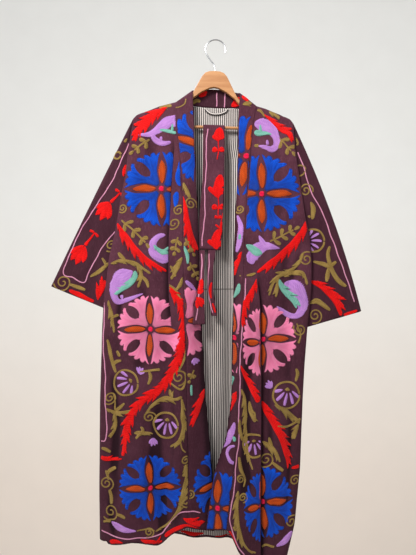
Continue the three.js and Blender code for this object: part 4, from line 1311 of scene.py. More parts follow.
def coil(panel, region, x, z, radius, start, hand=1):
    """A tendril that reaches its rim `start` degrees round from the right, and winds inwards."""
    share = np.linspace(-TENDRIL, 1, int(COIL_TURNS * COIL_STEPS) + 1)
    angles = share * COIL_TURNS * math.tau
    shrink = radius * 1.1 * np.where(share > 0, (1 - np.abs(share)) ** 0.85, 1 - 1.5 * share) + 1
    turn = math.radians(start) + hand * angles
    points = np.stack([x + shrink * np.cos(turn), z + shrink * np.sin(turn),
                       np.full_like(turn, VINE * COIL_THIN)], 1)
    stroke(panel, region, "olive", points, pad=PAD * OVER["olive"])


def ring(panel, region, x, z, radius):
    turn = np.linspace(0, math.tau, 25)
    stroke(panel, region, "olive",
           np.stack([x + radius * np.cos(turn), z + radius * np.sin(turn), np.full_like(turn, VINE)], 1))


def petal(panel, region, thread_name, x, z, length, wide, heading, tip=0.7):
    """A teardrop that starts at a point and grows along a heading in degrees."""
    dx, dz = math.cos(math.radians(heading)), math.sin(math.radians(heading))
    shares = ((0, 0.3), (0.35, 0.85), (0.68, 1.0), (1, tip))
    stroke(panel, region, thread_name,
           [(x + dx * length * s, z + dz * length * s, wide * w) for s, w in shares])


def sprig(panel, region, start, end, leaf, pairs):
    """A stem with pairs of oval leaves and one at its tip."""
    start, end = np.array(start, float), np.array(end, float)
    heading = math.degrees(math.atan2(end[1] - start[1], end[0] - start[0]))
    stroke(panel, region, "olive", [(*start, VINE), (*((start + end) / 2), VINE), (*end, VINE)])
    for k in range(pairs):
        x, z = start + (end - start) * (k + 0.45) / pairs
        for lean in (-52, 52):
            petal(panel, region, "olive", x, z, leaf * (1.4 - 0.12 * k), 5.4, heading + lean)
    petal(panel, region, "olive", *end, leaf * 1.1, 5, heading)


def tulip(panel, region, thread_name, x, z, size, heading):
    for lean, share in ((-36, 0.85), (-13, 1.0), (13, 0.92), (38, 0.88)):
        petal(panel, region, thread_name, x, z, size * share, size * 0.17, heading + lean, 0.12)


def fan(panel, region, x, z, radius, heading):
    """An olive ring round five lilac drops that spread from an olive heart."""
    ring(panel, region, x, z, radius)
    back_x, back_z = math.cos(math.radians(heading)), math.sin(math.radians(heading))
    heart_x, heart_z = x - back_x * radius * 0.62, z - back_z * radius * 0.62
    petal(panel, region, "olive", heart_x, heart_z, radius * 0.3, radius * 0.26, heading)
    for lean in (-58, -29, 0, 29, 58):
        away = math.radians(heading + lean)
        petal(panel, region, "lilac", heart_x + math.cos(away) * radius * 0.42,
              heart_z + math.sin(away) * radius * 0.42, radius * math.cos(math.radians(lean * 0.75)),
              radius * 0.12, heading + lean)


# %% Rosettes
FINGERS = 3.5  # fringe ends on each half of a lobe
HEART = 0.1  # the share of the radius at which the lobes begin
RIM = 1.6  # millimetres over which a lobe's edge rises


def rosette(panel, region, thread_name, x, z, radius, turn=0.0, squeeze=1.0):
    """Four lobes in eight mirrored wings, four orange petals between them and a dot in the middle."""
    def place(along, angle):
        angle = angle + math.radians(turn)
        return x + along * np.cos(angle) * squeeze, z + along * np.sin(angle)

    share = np.linspace(0, 1, 25)[None, :]
    down = np.linspace(0, 1, 15)[:, None] ** 0.85
    reach = radius * (0.87 + 0.14 * np.abs(np.cos(math.pi * FINGERS * share)) ** 0.55)
    heart = HEART * radius
    along = heart + (reach - heart) * down
    from_heart = np.clip((along / radius - 0.02) / 0.98, 0, 1)
    gap = radius * 0.125 * np.clip(np.sin(math.pi * from_heart), 0, 1) ** 0.8
    low = np.arcsin(np.clip(gap / along, 0, 0.7))
    oval = radius * 0.135 * np.sqrt(np.clip(1 - ((along / radius - 0.71) / 0.24) ** 2, 0, 1))
    high = math.pi / 4 - np.arcsin(np.clip(oval / along, 0, 0.9))
    angle = low + (high - low) * share
    edge = np.minimum(angle - low, np.where(oval > 0.02 * radius, high - angle, 9)) * along
    rim = np.minimum((1 - down) * (reach - heart), down * radius * 2)
    rise = np.clip(np.minimum(edge, rim) / RIM, 0, 1) ** 0.5
    for quarter in range(4):
        for flip in (1, -1):
            bend = angle if flip > 0 else math.pi / 2 - angle
            wing_x, wing_z = place(along, bend + quarter * math.pi / 2)
            sew(panel, region, thread_name, wing_x, wing_z, rise, along, share * radius * 0.55)
    for quarter in range(4):
        heading = quarter * math.pi / 2
        shares = np.array([0.14, 0.3, 0.48, 0.64, 0.78])
        px, pz = place(radius * shares, heading)
        halves = radius * np.array([0.035, 0.078, 0.092, 0.068, 0.014])
        stroke(panel, region, "orange", np.stack([px, pz, halves], 1), pad=PAD * 0.9)
    dot = 0.075 * radius
    stroke(panel, region, "rose", [(x - dot, z, dot), (x, z, dot), (x + dot, z, dot)], pad=PAD * 1.5)


print("motifs ready")

# %% [markdown]
# ## The layout
#
# These are the traditional figures of a suzani: rosettes, saw-edged leaves, paisleys, pomegranate
# fans, sprigs, coils and vines. Each row of a table is one figure, placed in millimetres. A stroke's
# row names its stretch, its thread and the sides that have teeth, then gives its points: x, z and half
# the width there.

# %% Rosettes of the fronts
ROSETTES = dict(
    left=(("main", "blue", -144, -403, 102, 0),
          ("band", "blue", -26, -288, 104, -16), ("main", "pink", -173, -777, 90, 0),
          ("band", "pink", -86, -756, 92, 4), ("main", "blue", -172, -1191, 85, 3),
          ("band", "blue", 12, -1189, 95, 10, 0.74)),
    right=(("front", "blue", 122, -417, 105, 0), ("band", "blue", 82, -316, 110, -9),
           ("strip", "pink", 120, -809, 92, 0, 0.56), ("main", "pink", 124, -802, 92, 0),
           ("band", "pink", 47, -800, 92, 2), ("strip", "blue", 121, -1240, 94, 4, 0.5),
           ("main", "blue", 124, -1232, 97, 4, 0.84), ("band", "blue", 5, -1245, 96, 0)),
)

# %% Strokes of the left front
LEFT_STROKES = (
    ("main red ab", (-128, -184, 2), (-150, -195, 8), (-178, -214, 11), (-206, -244, 9), (-223, -277, 2)),
    ("main red b", (-261, -494, 3), (-246, -522, 9), (-215, -562, 10), (-178, -594, 9), (-130, -624, 3)),
    ("strip red ab", (-124, -660, 3), (-104, -690, 8), (-88, -724, 8), (-84, -766, 7), (-88, -812, 8),
     (-98, -850, 9), (-134, -919, 9), (-172, -948, 9), (-203, -974, 8), (-234, -1031, 9), (-243, -1107, 3)),
    ("main red a", (-306, -1118, 8), (-290, -1123, 6), (-264, -1121, 4), (-244, -1115, 2)),
    ("band red b", (-27, -936, 3), (-38, -962, 8), (-50, -992, 9), (-61, -1032, 2)),
    ("band red b", (-87, -424, 2), (-81, -455, 6), (-72, -500, 9), (-60, -540, 10), (-48, -566, 4)),
    ("front red", (-280, -1334, 5), (-262, -1337, 8), (-240, -1341, 4)),
    ("front red a", (-198, -1326, 3), (-178, -1333, 7), (-158, -1339, 10), (-138, -1330, 7)),
    ("all red", (-134, -1316, 5), (-108, -1302, 7), (-76, -1290, 6), (-40, -1303, 4)),
    ("all red a", (-86, -1268, 2), (-70, -1277, 8), (-52, -1284, 9), (-38, -1292, 6)),
    ("main lilac", (-109, -206, 3), (-125, -222, 15), (-146, -238, 14), (-170, -253, 9), (-190, -259, 5),
     (-210, -258, 3)),
    ("main lilac", (-172, -257, 6), (-160, -272, 8), (-141, -281, 7), (-117, -280, 4)),
    ("main lilac", (-145, -279, 4), (-145, -263, 4)),
    ("main lilac", (-111, -210, 5), (-110, -226, 5), (-109, -240, 4)),
    ("main mint", (-152, -246, 3), (-126, -250, 5), (-104, -257, 4)),
    ("main mint", (-115, -230, 2), (-115, -250, 5)),
    ("main lilac", (-132, -527, 6), (-152, -532, 9), (-166, -550, 11), (-160, -574, 14), (-140, -588, 15),
     (-122, -590, 12)),
    ("main mint b", (-164, -552, 2), (-150, -566, 6), (-136, -570, 7), (-122, -560, 6)),
    ("main lilac", (-219, -624, 9), (-238, -635, 23), (-256, -652, 25), (-270, -680, 11), (-260, -702, 8),
     (-236, -699, 6), (-192, -684, 3)),
    ("main lilac", (-248, -697, 4), (-251, -684, 5)),
    ("main mint b", (-214, -623, 5), (-213, -640, 8), (-229, -660, 8), (-250, -672, 6), (-267, -686, 3)),
    ("main lilac", (-277, -1286, 3), (-262, -1293, 9), (-240, -1302, 8), (-208, -1304, 2)),
    ("band lilac", (-78, -648, 4), (-66, -660, 6), (-52, -676, 3)),
    ("strip blue", (-92, -322, 3), (-94, -348, 9), (-96, -374, 11), (-92, -398, 7)),
    ("strip blue", (-100, -412, 5), (-105, -428, 8), (-108, -454, 3)),
    ("band mint", (-84, -556, 3), (-77, -580, 5), (-74, -605, 2)),
    ("band mint", (-62, -918, 2), (-63, -932, 3), (-64, -948, 2)),
    ("main olive", (-151, -184, 4), (-135, -181, 6), (-118, -178, 4)),
    ("inner olive", (-109, -186, 2), (-96, -184, 2), (-84, -176, 2), (-79, -162, 2)),
    ("main olive", (-280, -602, 3), (-256, -596, 5), (-230, -598, 6), (-207, -605, 6), (-172, -628, 3)),
    ("main olive", (-258, -573, 3), (-250, -584, 5), (-238, -596, 4)),
    ("main olive", (-206, -606, 4), (-197, -634, 6), (-206, -668, 3)),
    ("main olive", (-199, -634, 4), (-184, -650, 5), (-178, -668, 3)),
    ("main olive", (-283, -700, 2), (-277, -730, 6), (-273, -760, 5), (-270, -786, 2)),
    ("main olive", (-275, -745, 3), (-262, -740, 4), (-257, -738, 2)),
    ("main olive", (-287, -803, 3), (-279, -835, 5), (-271, -872, 5), (-264, -892, 3)),
    ("main olive", (-270, -870, 3), (-262, -862, 5), (-247, -860, 3)),
    ("main olive", (-252, -850, 3), (-256, -842, 4), (-262, -832, 3)),
    ("main olive", (-201, -888, 2), (-176, -883, 3), (-146, -880, 4)),
    ("main olive", (-174, -884, 3), (-172, -900, 5), (-178, -920, 3)),
    ("strip olive", (-76, -822, 2), (-86, -860, 3), (-96, -882, 2)),
    ("front olive", (-80, -886, 2), (-78, -912, 2), (-90, -930, 3), (-117, -916, 2)),
    ("front olive", (-185, -998, 2), (-160, -968, 5), (-130, -955, 7), (-106, -958, 5), (-88, -948, 3)),
    ("front olive", (-112, -956, 4), (-117, -944, 6), (-120, -932, 2)),
    ("front olive", (-88, -953, 3), (-88, -998, 6), (-83, -1030, 7), (-92, -1060, 6), (-118, -1080, 3)),
    ("front olive", (-92, -1056, 2), (-88, -1082, 2), (-78, -1096, 2)),
    ("main olive", (-216, -1050, 3), (-198, -1046, 6), (-180, -1048, 4), (-165, -1052, 2)),
    ("main olive", (-197, -1030, 3), (-192, -1042, 4), (-212, -1064, 3)),
    ("main olive", (-292, -986, 3), (-268, -996, 6), (-240, -996, 5), (-214, -990, 3)),
    ("main olive", (-266, -994, 4), (-252, -984, 5), (-240, -972, 3)),
    ("main olive", (-268, -998, 4), (-266, -1030, 6), (-280, -1066, 3)),
    ("main olive", (-272, -950, 2), (-266, -970, 2), (-266, -992, 3)),
    ("main olive", (-303, -1094, 3), (-290, -1096, 5), (-276, -1104, 3)),
    ("main olive", (-290, -1165, 3), (-282, -1152, 5), (-263, -1140, 4)),
    ("main olive", (-292, -1150, 3), (-288, -1162, 4), (-284, -1176, 3)),
    ("main olive", (-281, -1199, 4), (-276, -1218, 5), (-274, -1240, 4)),
    ("main olive", (-262, -1263, 3), (-248, -1266, 5), (-235, -1272, 4)),
    ("main olive", (-300, -1285, 3), (-286, -1284, 4), (-278, -1287, 3)),
    ("front olive a", (-160, -1304, 2), (-128, -1286, 3), (-102, -1252, 5), (-86, -1210, 8),
     (-77, -1166, 5), (-78, -1128, 3)),
    ("front olive", (-79, -1126, 3), (-77, -1142, 6), (-82, -1160, 3)),
    ("main olive", (-208, -1304, 2), (-194, -1300, 2), (-178, -1296, 2), (-160, -1302, 2)),
    ("band olive", (-84, -388, 3), (-77, -408, 6), (-66, -430, 2)),
    ("strip olive", (-88, -586, 3), (-100, -612, 8), (-114, -646, 3)),
    ("strip olive", (-122, -610, 2), (-112, -622, 5), (-104, -640, 3)),
    ("strip olive", (-124, -656, 2), (-106, -676, 8), (-90, -700, 3)),
    ("strip olive", (-84, -640, 3), (-92, -660, 5), (-104, -676, 3)),
    ("front olive", (-70, -1176, 2), (-82, -1192, 4), (-90, -1212, 3)),
    ("main pale_pink", (-295, -699, 1.7), (-298, -800, 1.7), (-294, -900, 1.7), (-291, -1000, 1.7),
     (-290, -1067, 1.7), (-304, -1077, 1.7)),
    ("all pale_pink", (-304, -1309, 1.7), (-264, -1322, 1.7), (-217, -1324, 1.7), (-149, -1312, 1.7),
     (-130, -1296, 1.7), (-114, -1273, 1.7), (-91, -1254, 1.7), (-62, -1251, 1.7), (-41, -1258, 1.7)),
)

# %% Strokes of the right front
RIGHT_STROKES = (
    ("front red a", (129, -204, 2), (153, -226, 7), (182, -247, 10), (197, -256, 9), (204, -280, 2)),
    ("front red a", (246, -478, 4), (236, -510, 10), (205, -548, 10), (170, -580, 9), (136, -608, 8),
     (108, -626, 3)),
    ("strip red a", (110, -640, 4), (96, -670, 8), (80, -700, 9), (73, -730, 7), (70, -772, 3)),
    ("strip red a", (66, -868, 2), (80, -905, 7), (96, -937, 8), (112, -968, 8)),
    ("main red a", (122, -966, 5), (138, -1003, 10), (156, -1034, 11), (174, -1066, 10), (186, -1110, 8),
     (190, -1147, 2)),
    ("main red", (200, -1144, 3), (212, -1142, 5), (222, -1140, 5)),
    ("band red b", (54, -936, 3), (48, -960, 8), (38, -985, 9), (29, -1012, 3)),
    ("band red b", (69, -570, 2), (60, -600, 6), (51, -634, 2)),
    ("front red", (34, -1302, 3), (44, -1324, 4), (56, -1352, 3)),
    ("band red", (68, -152, 4), (78, -158, 6), (88, -168, 3)),
    ("front lilac", (103, -230, 14), (124, -234, 20), (146, -244, 17), (161, -263, 11), (164, -285, 9),
     (151, -298, 8), (132, -294, 6), (113, -289, 4)),
    ("front lilac", (137, -273, 3), (141, -288, 5)),
    ("front mint", (101, -252, 8), (114, -256, 8), (132, -256, 5), (150, -259, 2)),
    ("front mint", (119, -232, 2), (119, -252, 5)),
    ("front lilac", (172, -562, 2), (150, -560, 8), (128, -560, 14), (108, -570, 19), (96, -590, 15),
     (98, -606, 8)),
    ("front lilac", (112, -530, 2), (122, -546, 7), (132, -560, 6)),
    ("front mint", (78, -552, 4), (92, -562, 9), (108, -574, 11), (124, -578, 4)),
    ("front lilac", (184, -652, 12), (206, -666, 25), (222, -690, 22), (230, -718, 13), (212, -742, 8),
     (184, -736, 7), (160, -716, 3)),
    ("front mint a", (168, -644, 4), (174, -662, 9), (190, -684, 11), (206, -702, 8), (214, -722, 3)),
    ("band lilac", (60, -474, 3), (66, -506, 7), (61, -545, 7), (57, -573, 3)),
    ("band mint", (64, -524, 3), (62, -540, 4)),
    ("band lilac", (50, -1020, 3), (41, -1046, 8), (28, -1074, 8), (19, -1088, 3)),
    ("band mint", (46, -1056, 4), (49, -1070, 5)),
    ("band lilac", (50, -1080, 3), (37, -1086, 4), (31, -1102, 4), (38, -1120, 5), (50, -1128, 4)),
    ("main lilac", (204, -1310, 7), (182, -1336, 8), (160, -1349, 3)),
    ("band mint", (62, -655, 3), (57, -675, 6), (49, -696, 2)),
    ("band mint", (46, -900, 4), (38, -926, 5)),
    ("front olive", (101, -289, 4), (116, -289, 5)),
    ("band olive", (72, -176, 4), (84, -172, 6), (98, -172, 4)),
    ("front olive", (112, -192, 4), (122, -196, 4), (132, -212, 2)),
    ("front olive", (143, -196, 4), (155, -202, 6), (172, -212, 4)),
    ("front olive", (234, -574, 2), (222, -600, 5), (200, -622, 6), (168, -636, 7), (150, -660, 5),
     (142, -690, 3)),
    ("front olive", (180, -636, 3), (206, -626, 6), (232, -628, 5), (246, -659, 3)),
    ("front olive", (166, -640, 4), (164, -668, 6), (160, -694, 3)),
    ("main olive", (216, -760, 2), (226, -790, 2), (220, -814, 3)),
    ("main olive", (212, -880, 3), (218, -896, 5), (212, -916, 3)),
    ("main olive", (154, -974, 3), (174, -984, 7), (196, -1002, 8), (226, -1024, 4)),
    ("main olive", (160, -1030, 2), (182, -1034, 3), (202, -1030, 3), (226, -1014, 4)),
    ("main olive", (222, -1028, 4), (214, -1048, 7), (210, -1070, 3)),
    ("main olive", (122, -1070, 3), (142, -1082, 7), (158, -1100, 7), (168, -1126, 3)),
    ("main olive", (140, -1060, 3), (144, -1074, 5), (150, -1088, 4)),
    ("main olive", (146, -1126, 3), (162, -1138, 5), (178, -1150, 4)),
    ("strip olive", (66, -930, 2), (76, -960, 5), (80, -1000, 6), (78, -1040, 5), (82, -1090, 6),
     (98, -1142, 2)),
    ("strip olive", (88, -963, 3), (92, -990, 6), (102, -1014, 4), (104, -990, 2)),
    ("strip olive", (64, -1010, 2), (62, -1040, 5), (70, -1070, 3)),
    ("strip olive", (62, -1110, 3), (66, -1140, 5), (76, -1166, 3), (72, -1190, 2)),
    ("front olive", (58, -1196, 3), (56, -1231, 6), (58, -1280, 7), (66, -1322, 6), (84, -1350, 3),
     (106, -1358, 3)),
    ("front olive", (60, -1290, 2), (50, -1300, 3), (44, -1290, 2)),
    ("main olive", (122, -1352, 3), (136, -1346, 3), (156, -1350, 3)),
    ("band olive", (62, -636, 2), (66, -632, 4)),
    ("front olive", (80, -634, 2), (94, -632, 4), (106, -628, 2)),
)

# %% Figures of the fronts
FANS = dict(left=(("main", -238, -919, 33, -155), ("front", -131, -1026, 33, -100)),
            right=(("main", 187, -950, 35, -105), ("strip", 101, -1079, 30, -80)))
TULIPS = dict(left=(("main", "lilac", -201, -895, 22, 70), ("main", "lilac", -164, -1062, 24, -90),
                    ("band", "lilac", -57, -850, 20, -80)),
              right=(("main", "lilac", 148, -932, 24, 130),))
COILS = dict(
    left=(("front", -96, -898, 14, 60), ("main", -174, -1006, 11, 90), ("main", -280, -958, 11, 20),
          ("main", -290, -1184, 12, 90), ("main", -277, -1259, 15, 0), ("front", -78, -1226, 12, -120),
          ("band", -66, -1204, 9, -60), ("front", -80, -1116, 9, 40),
          ("main", -176, -1304, 9, 30),
          ("strip", -99, -463, 11, 100), ("strip", -110, -498, 13, -90), ("band", -68, -446, 11, 120),
          ("main", -246, -455, 9, -60)),
    right=(("front", 240, -592, 14, 150), ("main", 225, -776, 11, -60), ("main", 133, -1118, 14, 0),
           ("main", 212, -1178, 11, 90), ("main", 200, -1284, 12, 100), ("band", 65, -459, 8, -80),
           ("strip", 70, -1215, 8, 60), ("strip", 65, -1168, 8, 100)),
)
SPRIGS = dict(left=(("main", (-177, -268), (-218, -302), 15, 2), ("main", (-250, -486), (-186, -548), 17, 3),
                    ("band", (-80, -536), (-62, -572), 11, 2), ("band", (-70, -598), (-50, -636), 12, 2),
                    ("strip", (-98, -534), (-108, -572), 13, 2), ("band", (-56, -880), (-66, -905), 10, 1)),
              right=(("front", (168, -264), (202, -302), 17, 2), ("front", (142, -547), (208, -512), 17, 3)))


LEAF_HALF = 6  # half the width from which an olive stroke is a leaf


def embroider(panel, source, strokes, region=None):
    """Sews all of a front's figures, on that front or on another panel that repeats them."""
    for stretch_name, *rest in ROSETTES[source]:
        rosette(panel, region or stretch_name, *rest)
    for words, *points in strokes:
        stretch_name, thread_name, *teeth = words.split()
        if thread_name == "olive" and max(half for _, _, half in points) >= LEAF_HALF:
            # An olive leaf is sawn on one side. Its height picks which, so that they vary.
            teeth = "a" if abs(points[0][1]) % 2 else "b"
        stroke(panel, region or stretch_name, thread_name, points, "".join(teeth),
               PAD * OVER.get(thread_name, 1))
    for motif, places in ((fan, FANS), (tulip, TULIPS), (coil, COILS), (sprig, SPRIGS)):
        for stretch_name, *rest in places[source]:
            motif(panel, region or stretch_name, *rest)


embroider("left", "left", LEFT_STROKES)
embroider("right", "right", RIGHT_STROKES)

# The chain-stitched line that follows the right front's seam from the waist to the hem.
BESIDE_SEAM = 5
seam_heights = np.arange(-640, -1280, -30.0)
stroke("right", "front", "pale_pink",
       [(line_x(RIGHT, "seam", z) + BESIDE_SEAM, z, LINE) for z in seam_heights]
       + [(41, -1298, LINE), (48, -1320, LINE), (59, -1346, LINE), (76, -1366, LINE)])
print("fronts", sum(len(group) for group in SEWN.values()), "patches")

# %% [markdown]
# ## Sleeves and sash
#
# A frame of chain stitch runs down each sleeve. The left one holds two red tulips, and the right one
# coils, leaves and a fan that goes in under the front. The sash has red tulips one above another, each
# on a short stem, beside a pink line.

# %% Sleeves
def filled(panel, words, *points):
    """A stroke anywhere on a panel. Its words name the thread and the sides that have teeth."""
    thread_name, *teeth = words.split()
    stroke(panel, "all", thread_name, points, "".join(teeth))


def framed(panel, thread_name, *points):
    stroke(panel, "all", thread_name, [(x, z, LINE) for x, z in points])


def red_tulip(panel, top, head, tip):
    """A tulip that hangs from a stem with two small leaves."""
    heading = math.degrees(math.atan2(tip[1] - head[1], tip[0] - head[0]))
    middle = ((top[0] + head[0]) / 2, (top[1] + head[1]) / 2)
    stroke(panel, "all", "red", [(*top, 2), (*middle, 3), (*head, 5)])
    size = math.hypot(tip[0] - head[0], tip[1] - head[1])
    for lean, share, wide in ((-30, 0.8, 0.16), (-12, 1.0, 0.17), (8, 1.05, 0.17), (28, 0.85, 0.16)):
        petal(panel, "all", "red", *head, size * share, size * wide, heading + lean, 0.1)
    for lean in (-75, 70):
        petal(panel, "all", "red", *top, 16, 4, heading + lean)


def embroider_sleeve_left(panel):
    framed(panel, "pale_pink", (-232, -280), (-258, -340), (-294, -410), (-330, -463), (-371, -536),
           (-408, -622), (-380, -640), (-350, -654), (-336, -618), (-301, -555), (-268, -512))
    red_tulip(panel, (-256, -410), (-280, -440), (-316, -482))
    red_tulip(panel, (-322, -520), (-350, -556), (-382, -601))
    coil(panel, "all", -408, -652, 16, -20)
    filled(panel, "olive", (-392, -657, 3), (-370, -664, 5), (-348, -675, 4))
    filled(panel, "olive", (-336, -640, 3), (-312, -622, 6), (-286, -600, 4))
    filled(panel, "olive", (-306, -585, 3), (-298, -598, 4), (-292, -612, 3))
    coil(panel, "all", -280, -553, 11, 20)
    filled(panel, "red a", (-316, -703, 3), (-308, -680, 10), (-294, -648, 8))
    filled(panel, "red", (-392, -673, 4), (-372, -682, 7), (-350, -694, 6), (-326, -706, 4))
    filled(panel, "red", (-238, -336, 4), (-243, -352, 6), (-247, -368, 2))
    ring(panel, "all", -262, -312, 9)
    petal(panel, "all", "olive", -238, -268, 14, 4, -120)


def embroider_sleeve_right(panel):
    framed(panel, "pale_pink", (219, -303), (235, -342), (259, -413), (284, -463), (306, -521), (319, -552),
           (341, -612), (356, -660), (372, -706))
    coil(panel, "all", 243, -405, 12, 130)
    ring(panel, "all", 226, -352, 14)
    filled(panel, "olive", (254, -436, 3), (261, -458, 7), (258, -486, 4))
    filled(panel, "olive", (246, -474, 3), (254, -480, 5))
    fan(panel, "all", 262, -542, 30, 0)
    filled(panel, "olive", (307, -554, 4), (303, -590, 6), (322, -640, 7), (349, -664, 4))
    filled(panel, "olive", (260, -598, 3), (284, -602, 6), (304, -608, 6), (325, -596, 4))
    filled(panel, "olive", (303, -612, 4), (298, -634, 6), (297, -652, 3))
    filled(panel, "red a", (256, -650, 5), (296, -674, 11), (326, -708, 11), (334, -742, 3))
    filled(panel, "olive", (250, -708, 4), (276, -706, 8), (308, -730, 4))
    coil(panel, "all", 266, -742, 13, 40)
    filled(panel, "red", (343, -740, 3), (362, -734, 5), (382, -728, 3))
    petal(panel, "all", "olive", 214, -262, 26, 6, -75)


for rear in ("", "_rear"):
    embroider_sleeve_left("sleeve_left" + rear)
    embroider_sleeve_right("sleeve_right" + rear)

# %% Sash
framed("belt", "pale_pink", (-21, -240), (-25, -310), (-27, -378), (-30, -472), (-36, -556))
framed("belt", "red", (8, -270), (9, -300), (5, -326))
framed("belt", "red", (8, -420), (9, -450), (5, -484))
framed("belt", "red", (20, -466), (19, -500), (12, -530))
for x, z, size, wide in ((8, -277, 42, 13), (8, -428, 70, 14), (4, -568, 62, 14), (17, -520, 50, 6)):
    stroke("belt", "all", "red", ((x, z, 4), (x - 1, z + size * 0.25, wide),
                                  (x + 1, z + size * 0.6, wide * 0.95),
                                  (x + 4, z + size * 0.94, wide * 0.5)))
    for lean in (-48, 48):
        petal("belt", "all", "red", x, z + size * 0.12, size * 0.5, wide * 0.5, 90 + lean)
for x, z, size in ((8, -302, 18), (8, -454, 19), (6, -480, 12)):
    for heading in (24, 156):
        petal("belt", "all", "red", x, z, size, size * 0.42, heading)
framed("tail_left", "pale_pink", (-38, -575), (-38, -640), (-47, -700), (-52, -755))
for x, z, size, heading in ((-42, -684, 44, 95), (-46, -690, 34, -85)):
    tulip("tail_left", "all", "red", x, z, size, heading)
framed("tail_right", "pale_pink", (-17, -575), (-20, -640), (-17, -690), (-8, -735))
filled("tail_right", "red", (-11, -652, 2), (-13, -674, 4), (-11, -696, 2))
filled("tail_right", "red", (-8, -706, 2), (-3, -722, 3), (0, -734, 2))

# The inside of the neck band shows the turned-in end of the pattern.
framed("neck", "pale_pink", (4, -176), (5, -160), (4, -134))
framed("neck", "pale_pink", (25, -178), (26, -160), (25, -136))
filled("neck", "red a", (-46, -146, 6), (-34, -142, 8), (-22, -140, 5))
filled("neck", "red b", (44, -176, 6), (54, -164, 9), (58, -150, 6))
filled("neck", "olive", (-66, -168, 4), (-52, -158, 5), (-40, -160, 4))
# Inside the back's hem, the red edge of the pattern shows between the fronts.
for x, z, wide, far, fall in ((-96, -1334, 6, -30, 2), (0, -1348, 2.6, 34, 3), (34, -1351, 2.6, 66, 6)):
    stroke("back_inside", "all", "red", ((x, z, 2), ((x + far) / 2, z - fall / 2, wide), (far, z - fall, 2)),
           pad=PAD + CLOTH + SEAM + LINING)
print("with sleeves, sash and neck", sum(len(group) for group in SEWN.values()), "patches")

# %% [markdown]
# ## The back
#
# The same figures lie on the back in the same two columns, and a third column of rosettes, fans and
# leaves fills the middle between them.

# %% Back panel
MIDDLE_X = -10
MIDDLE_HALF = 64  # half the width of the middle column


def beside_middle(strokes):
    """The strokes that stay clear of the middle column."""
    return [row for row in strokes if row[0].split()[0] in ("main", "front", "strip")
            and min(abs(x - MIDDLE_X) for x, _, _ in row[1:]) > MIDDLE_HALF]


ROSETTES["left_rear"] = [r for r in ROSETTES["left"] if r[0] == "main"]
ROSETTES["right_rear"] = [r for r in ROSETTES["right"] if r[0] in ("front", "main")]
for group in (FANS, TULIPS, COILS, SPRIGS):
    group["left_rear"] = [row for row in group["left"] if row[0] in ("main", "front")]
    group["right_rear"] = [row for row in group["right"] if row[0] in ("main", "front")]
embroider("back", "left_rear", beside_middle(LEFT_STROKES), "all")
embroider("back", "right_rear", beside_middle(RIGHT_STROKES), "all")
for z, radius, thread_name in ((-290, 78, "pink"), (-610, 84, "blue"), (-1010, 88, "pink"),
                               (-1258, 74, "blue")):
    rosette("back", "all", thread_name, MIDDLE_X, z, radius)
for z, heading in ((-450, 90), (-800, -90), (-880, 90)):
    fan("back", "all", MIDDLE_X, z, 32, heading)
for out in (-1, 1):
    for leaf in (((24, -420, 3), (46, -450, 8), (54, -490, 8), (40, -520, 3)),
                 ((30, -712, 3), (50, -760, 9), (56, -820, 9), (44, -880, 8), (22, -915, 3))):
        stroke("back", "all", "red", [(MIDDLE_X + out * x, z, half) for x, z, half in leaf], "ab")
    sprig("back", "all", (MIDDLE_X + out * 8, -1118), (MIDDLE_X + out * 52, -1160), 16, 2)
    coil("back", "all", MIDDLE_X + out * 56, -1124, 11, 90, hand=out)
    coil("back", "all", MIDDLE_X + out * 50, -380, 11, -90, hand=out)
print("with the back", sum(len(group) for group in SEWN.values()), "patches")

# %% [markdown]
# ## Joining the embroidery
#
# All the motifs of one thread on one panel become one mesh.

# %% One mesh for each panel and thread
def join_threads():
    joined = {}
    total = 0
    for (panel, thread_name), group in SEWN.items():
        points, faces, stitch, first = [], [], [], 0
        for grid_points, quads, lies, faces_to in group:
            used, renumbered = np.unique(quads, return_inverse=True)
            renumbered = renumbered.reshape(-1, 4)
            corner = grid_points[used]
            across = np.cross(corner[renumbered[:, 2]] - corner[renumbered[:, 0]],
                              corner[renumbered[:, 3]] - corner[renumbered[:, 1]])
            if across[:, 1].sum() * faces_to < 0:
                renumbered = renumbered[:, ::-1]
            points.append(corner)
            faces.append(renumbered + first)
            stitch.append(lies[used])
            first += len(used)
        points, faces, stitch = (np.concatenate(part) for part in (points, faces, stitch))
        piece = make(f"stitches_{panel}_{thread_name}", points, faces, THREAD_FINISH[thread_name],
                     closed=False, attributes={"stitch": stitch})
        joined.setdefault(panel, []).append(piece)
        total += 2 * len(faces)
    print("embroidery", total, "triangles in", len(SEWN), "pieces")
    return joined


STITCHES = join_threads()

# %% [markdown]
# ## The back's inside
#
# The embroidery laid inside the back's hem is listed with the back's.

# %% The back's inside
STITCHES["back"] += STITCHES["back_inside"]

# %% [markdown]
# ## Room and light
#
# A pale floor and a wall far behind give soft light something to bounce from. One light above and in
# front does most of the work, with a weak one on each side and one behind. A very large one lights the
# wall alone, so that it stays even.

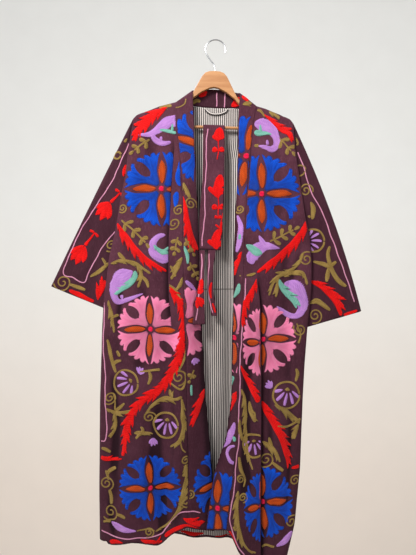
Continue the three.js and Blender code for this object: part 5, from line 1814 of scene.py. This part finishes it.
# %% Floor and wall
WARM_TO_COOL = (-3.6, 0.6)  # heights in metres between which the plaster goes from warm to cool
FLOOR_Z = -7.5
WALL_Y = 4.5
ROOM_SIZE = 24


def stage_plane(name, place, turn, shade):
    bpy.ops.mesh.primitive_plane_add(size=ROOM_SIZE, location=place, rotation=turn)
    plane = bpy.context.object
    plane.name = name
    nodes = Nodes(name, Roughness=0.9)
    speck = nodes.noise(nodes.add("TexCoord", output="Object"), 3, 4)
    height = nodes.parts(nodes.add("NewGeometry", output="Position"))[2]
    plaster = nodes.blend(height.between(*WARM_TO_COOL), colour(238, 226, 214), colour(*shade))
    nodes.feed(Base_Color=nodes.blend(speck * 0.12, plaster, colour(180, 176, 170)))
    plane.data.materials.append(nodes.material)


stage_plane("floor", (0, 0, FLOOR_Z), (0, 0, 0), (240, 236, 230))
stage_plane("far_wall", (0, WALL_Y, 2), (math.radians(90), 0, 0), (242, 242, 238))


# %% Lights
def soft_light(name, place, aim, size, power, tint=(1, 1, 1)):
    data = bpy.data.lights.new(name, "AREA")
    data.size = size
    data.energy = power
    data.color = tint
    light = bpy.data.objects.new(name, data)
    light.location = place
    light.rotation_euler = (Vector(aim) - Vector(place)).to_track_quat("-Z", "Y").to_euler()
    bpy.context.collection.objects.link(light)


MIDDLE = (0, 0, -0.7)
SKY = (0.92, 0.93, 0.95, 1)
SKY_STRENGTH = 0.5
soft_light("key", (-0.95, -1.45, 0.95), (0, 0, -0.55), 0.7, 66, (1, 0.99, 0.97))
soft_light("fill_right", (2.0, -1.8, 0.6), MIDDLE, 1.4, 12)
soft_light("fill_left", (-2.4, -1.2, -0.6), MIDDLE, 1.6, 3)
soft_light("behind", (0.6, 2.6, 1.2), MIDDLE, 2.0, 30)
soft_light("on_wall", (0, 1.0, -0.3), (0, WALL_Y, -0.3), 10.0, 180)
world = bpy.data.worlds.new("room")
world.use_nodes = True
world.node_tree.nodes["Background"].inputs["Color"].default_value = SKY
world.node_tree.nodes["Background"].inputs["Strength"].default_value = SKY_STRENGTH
bpy.context.scene.world = world
bpy.context.scene.view_settings.view_transform = "Standard"
print("lights", len(bpy.data.lights))
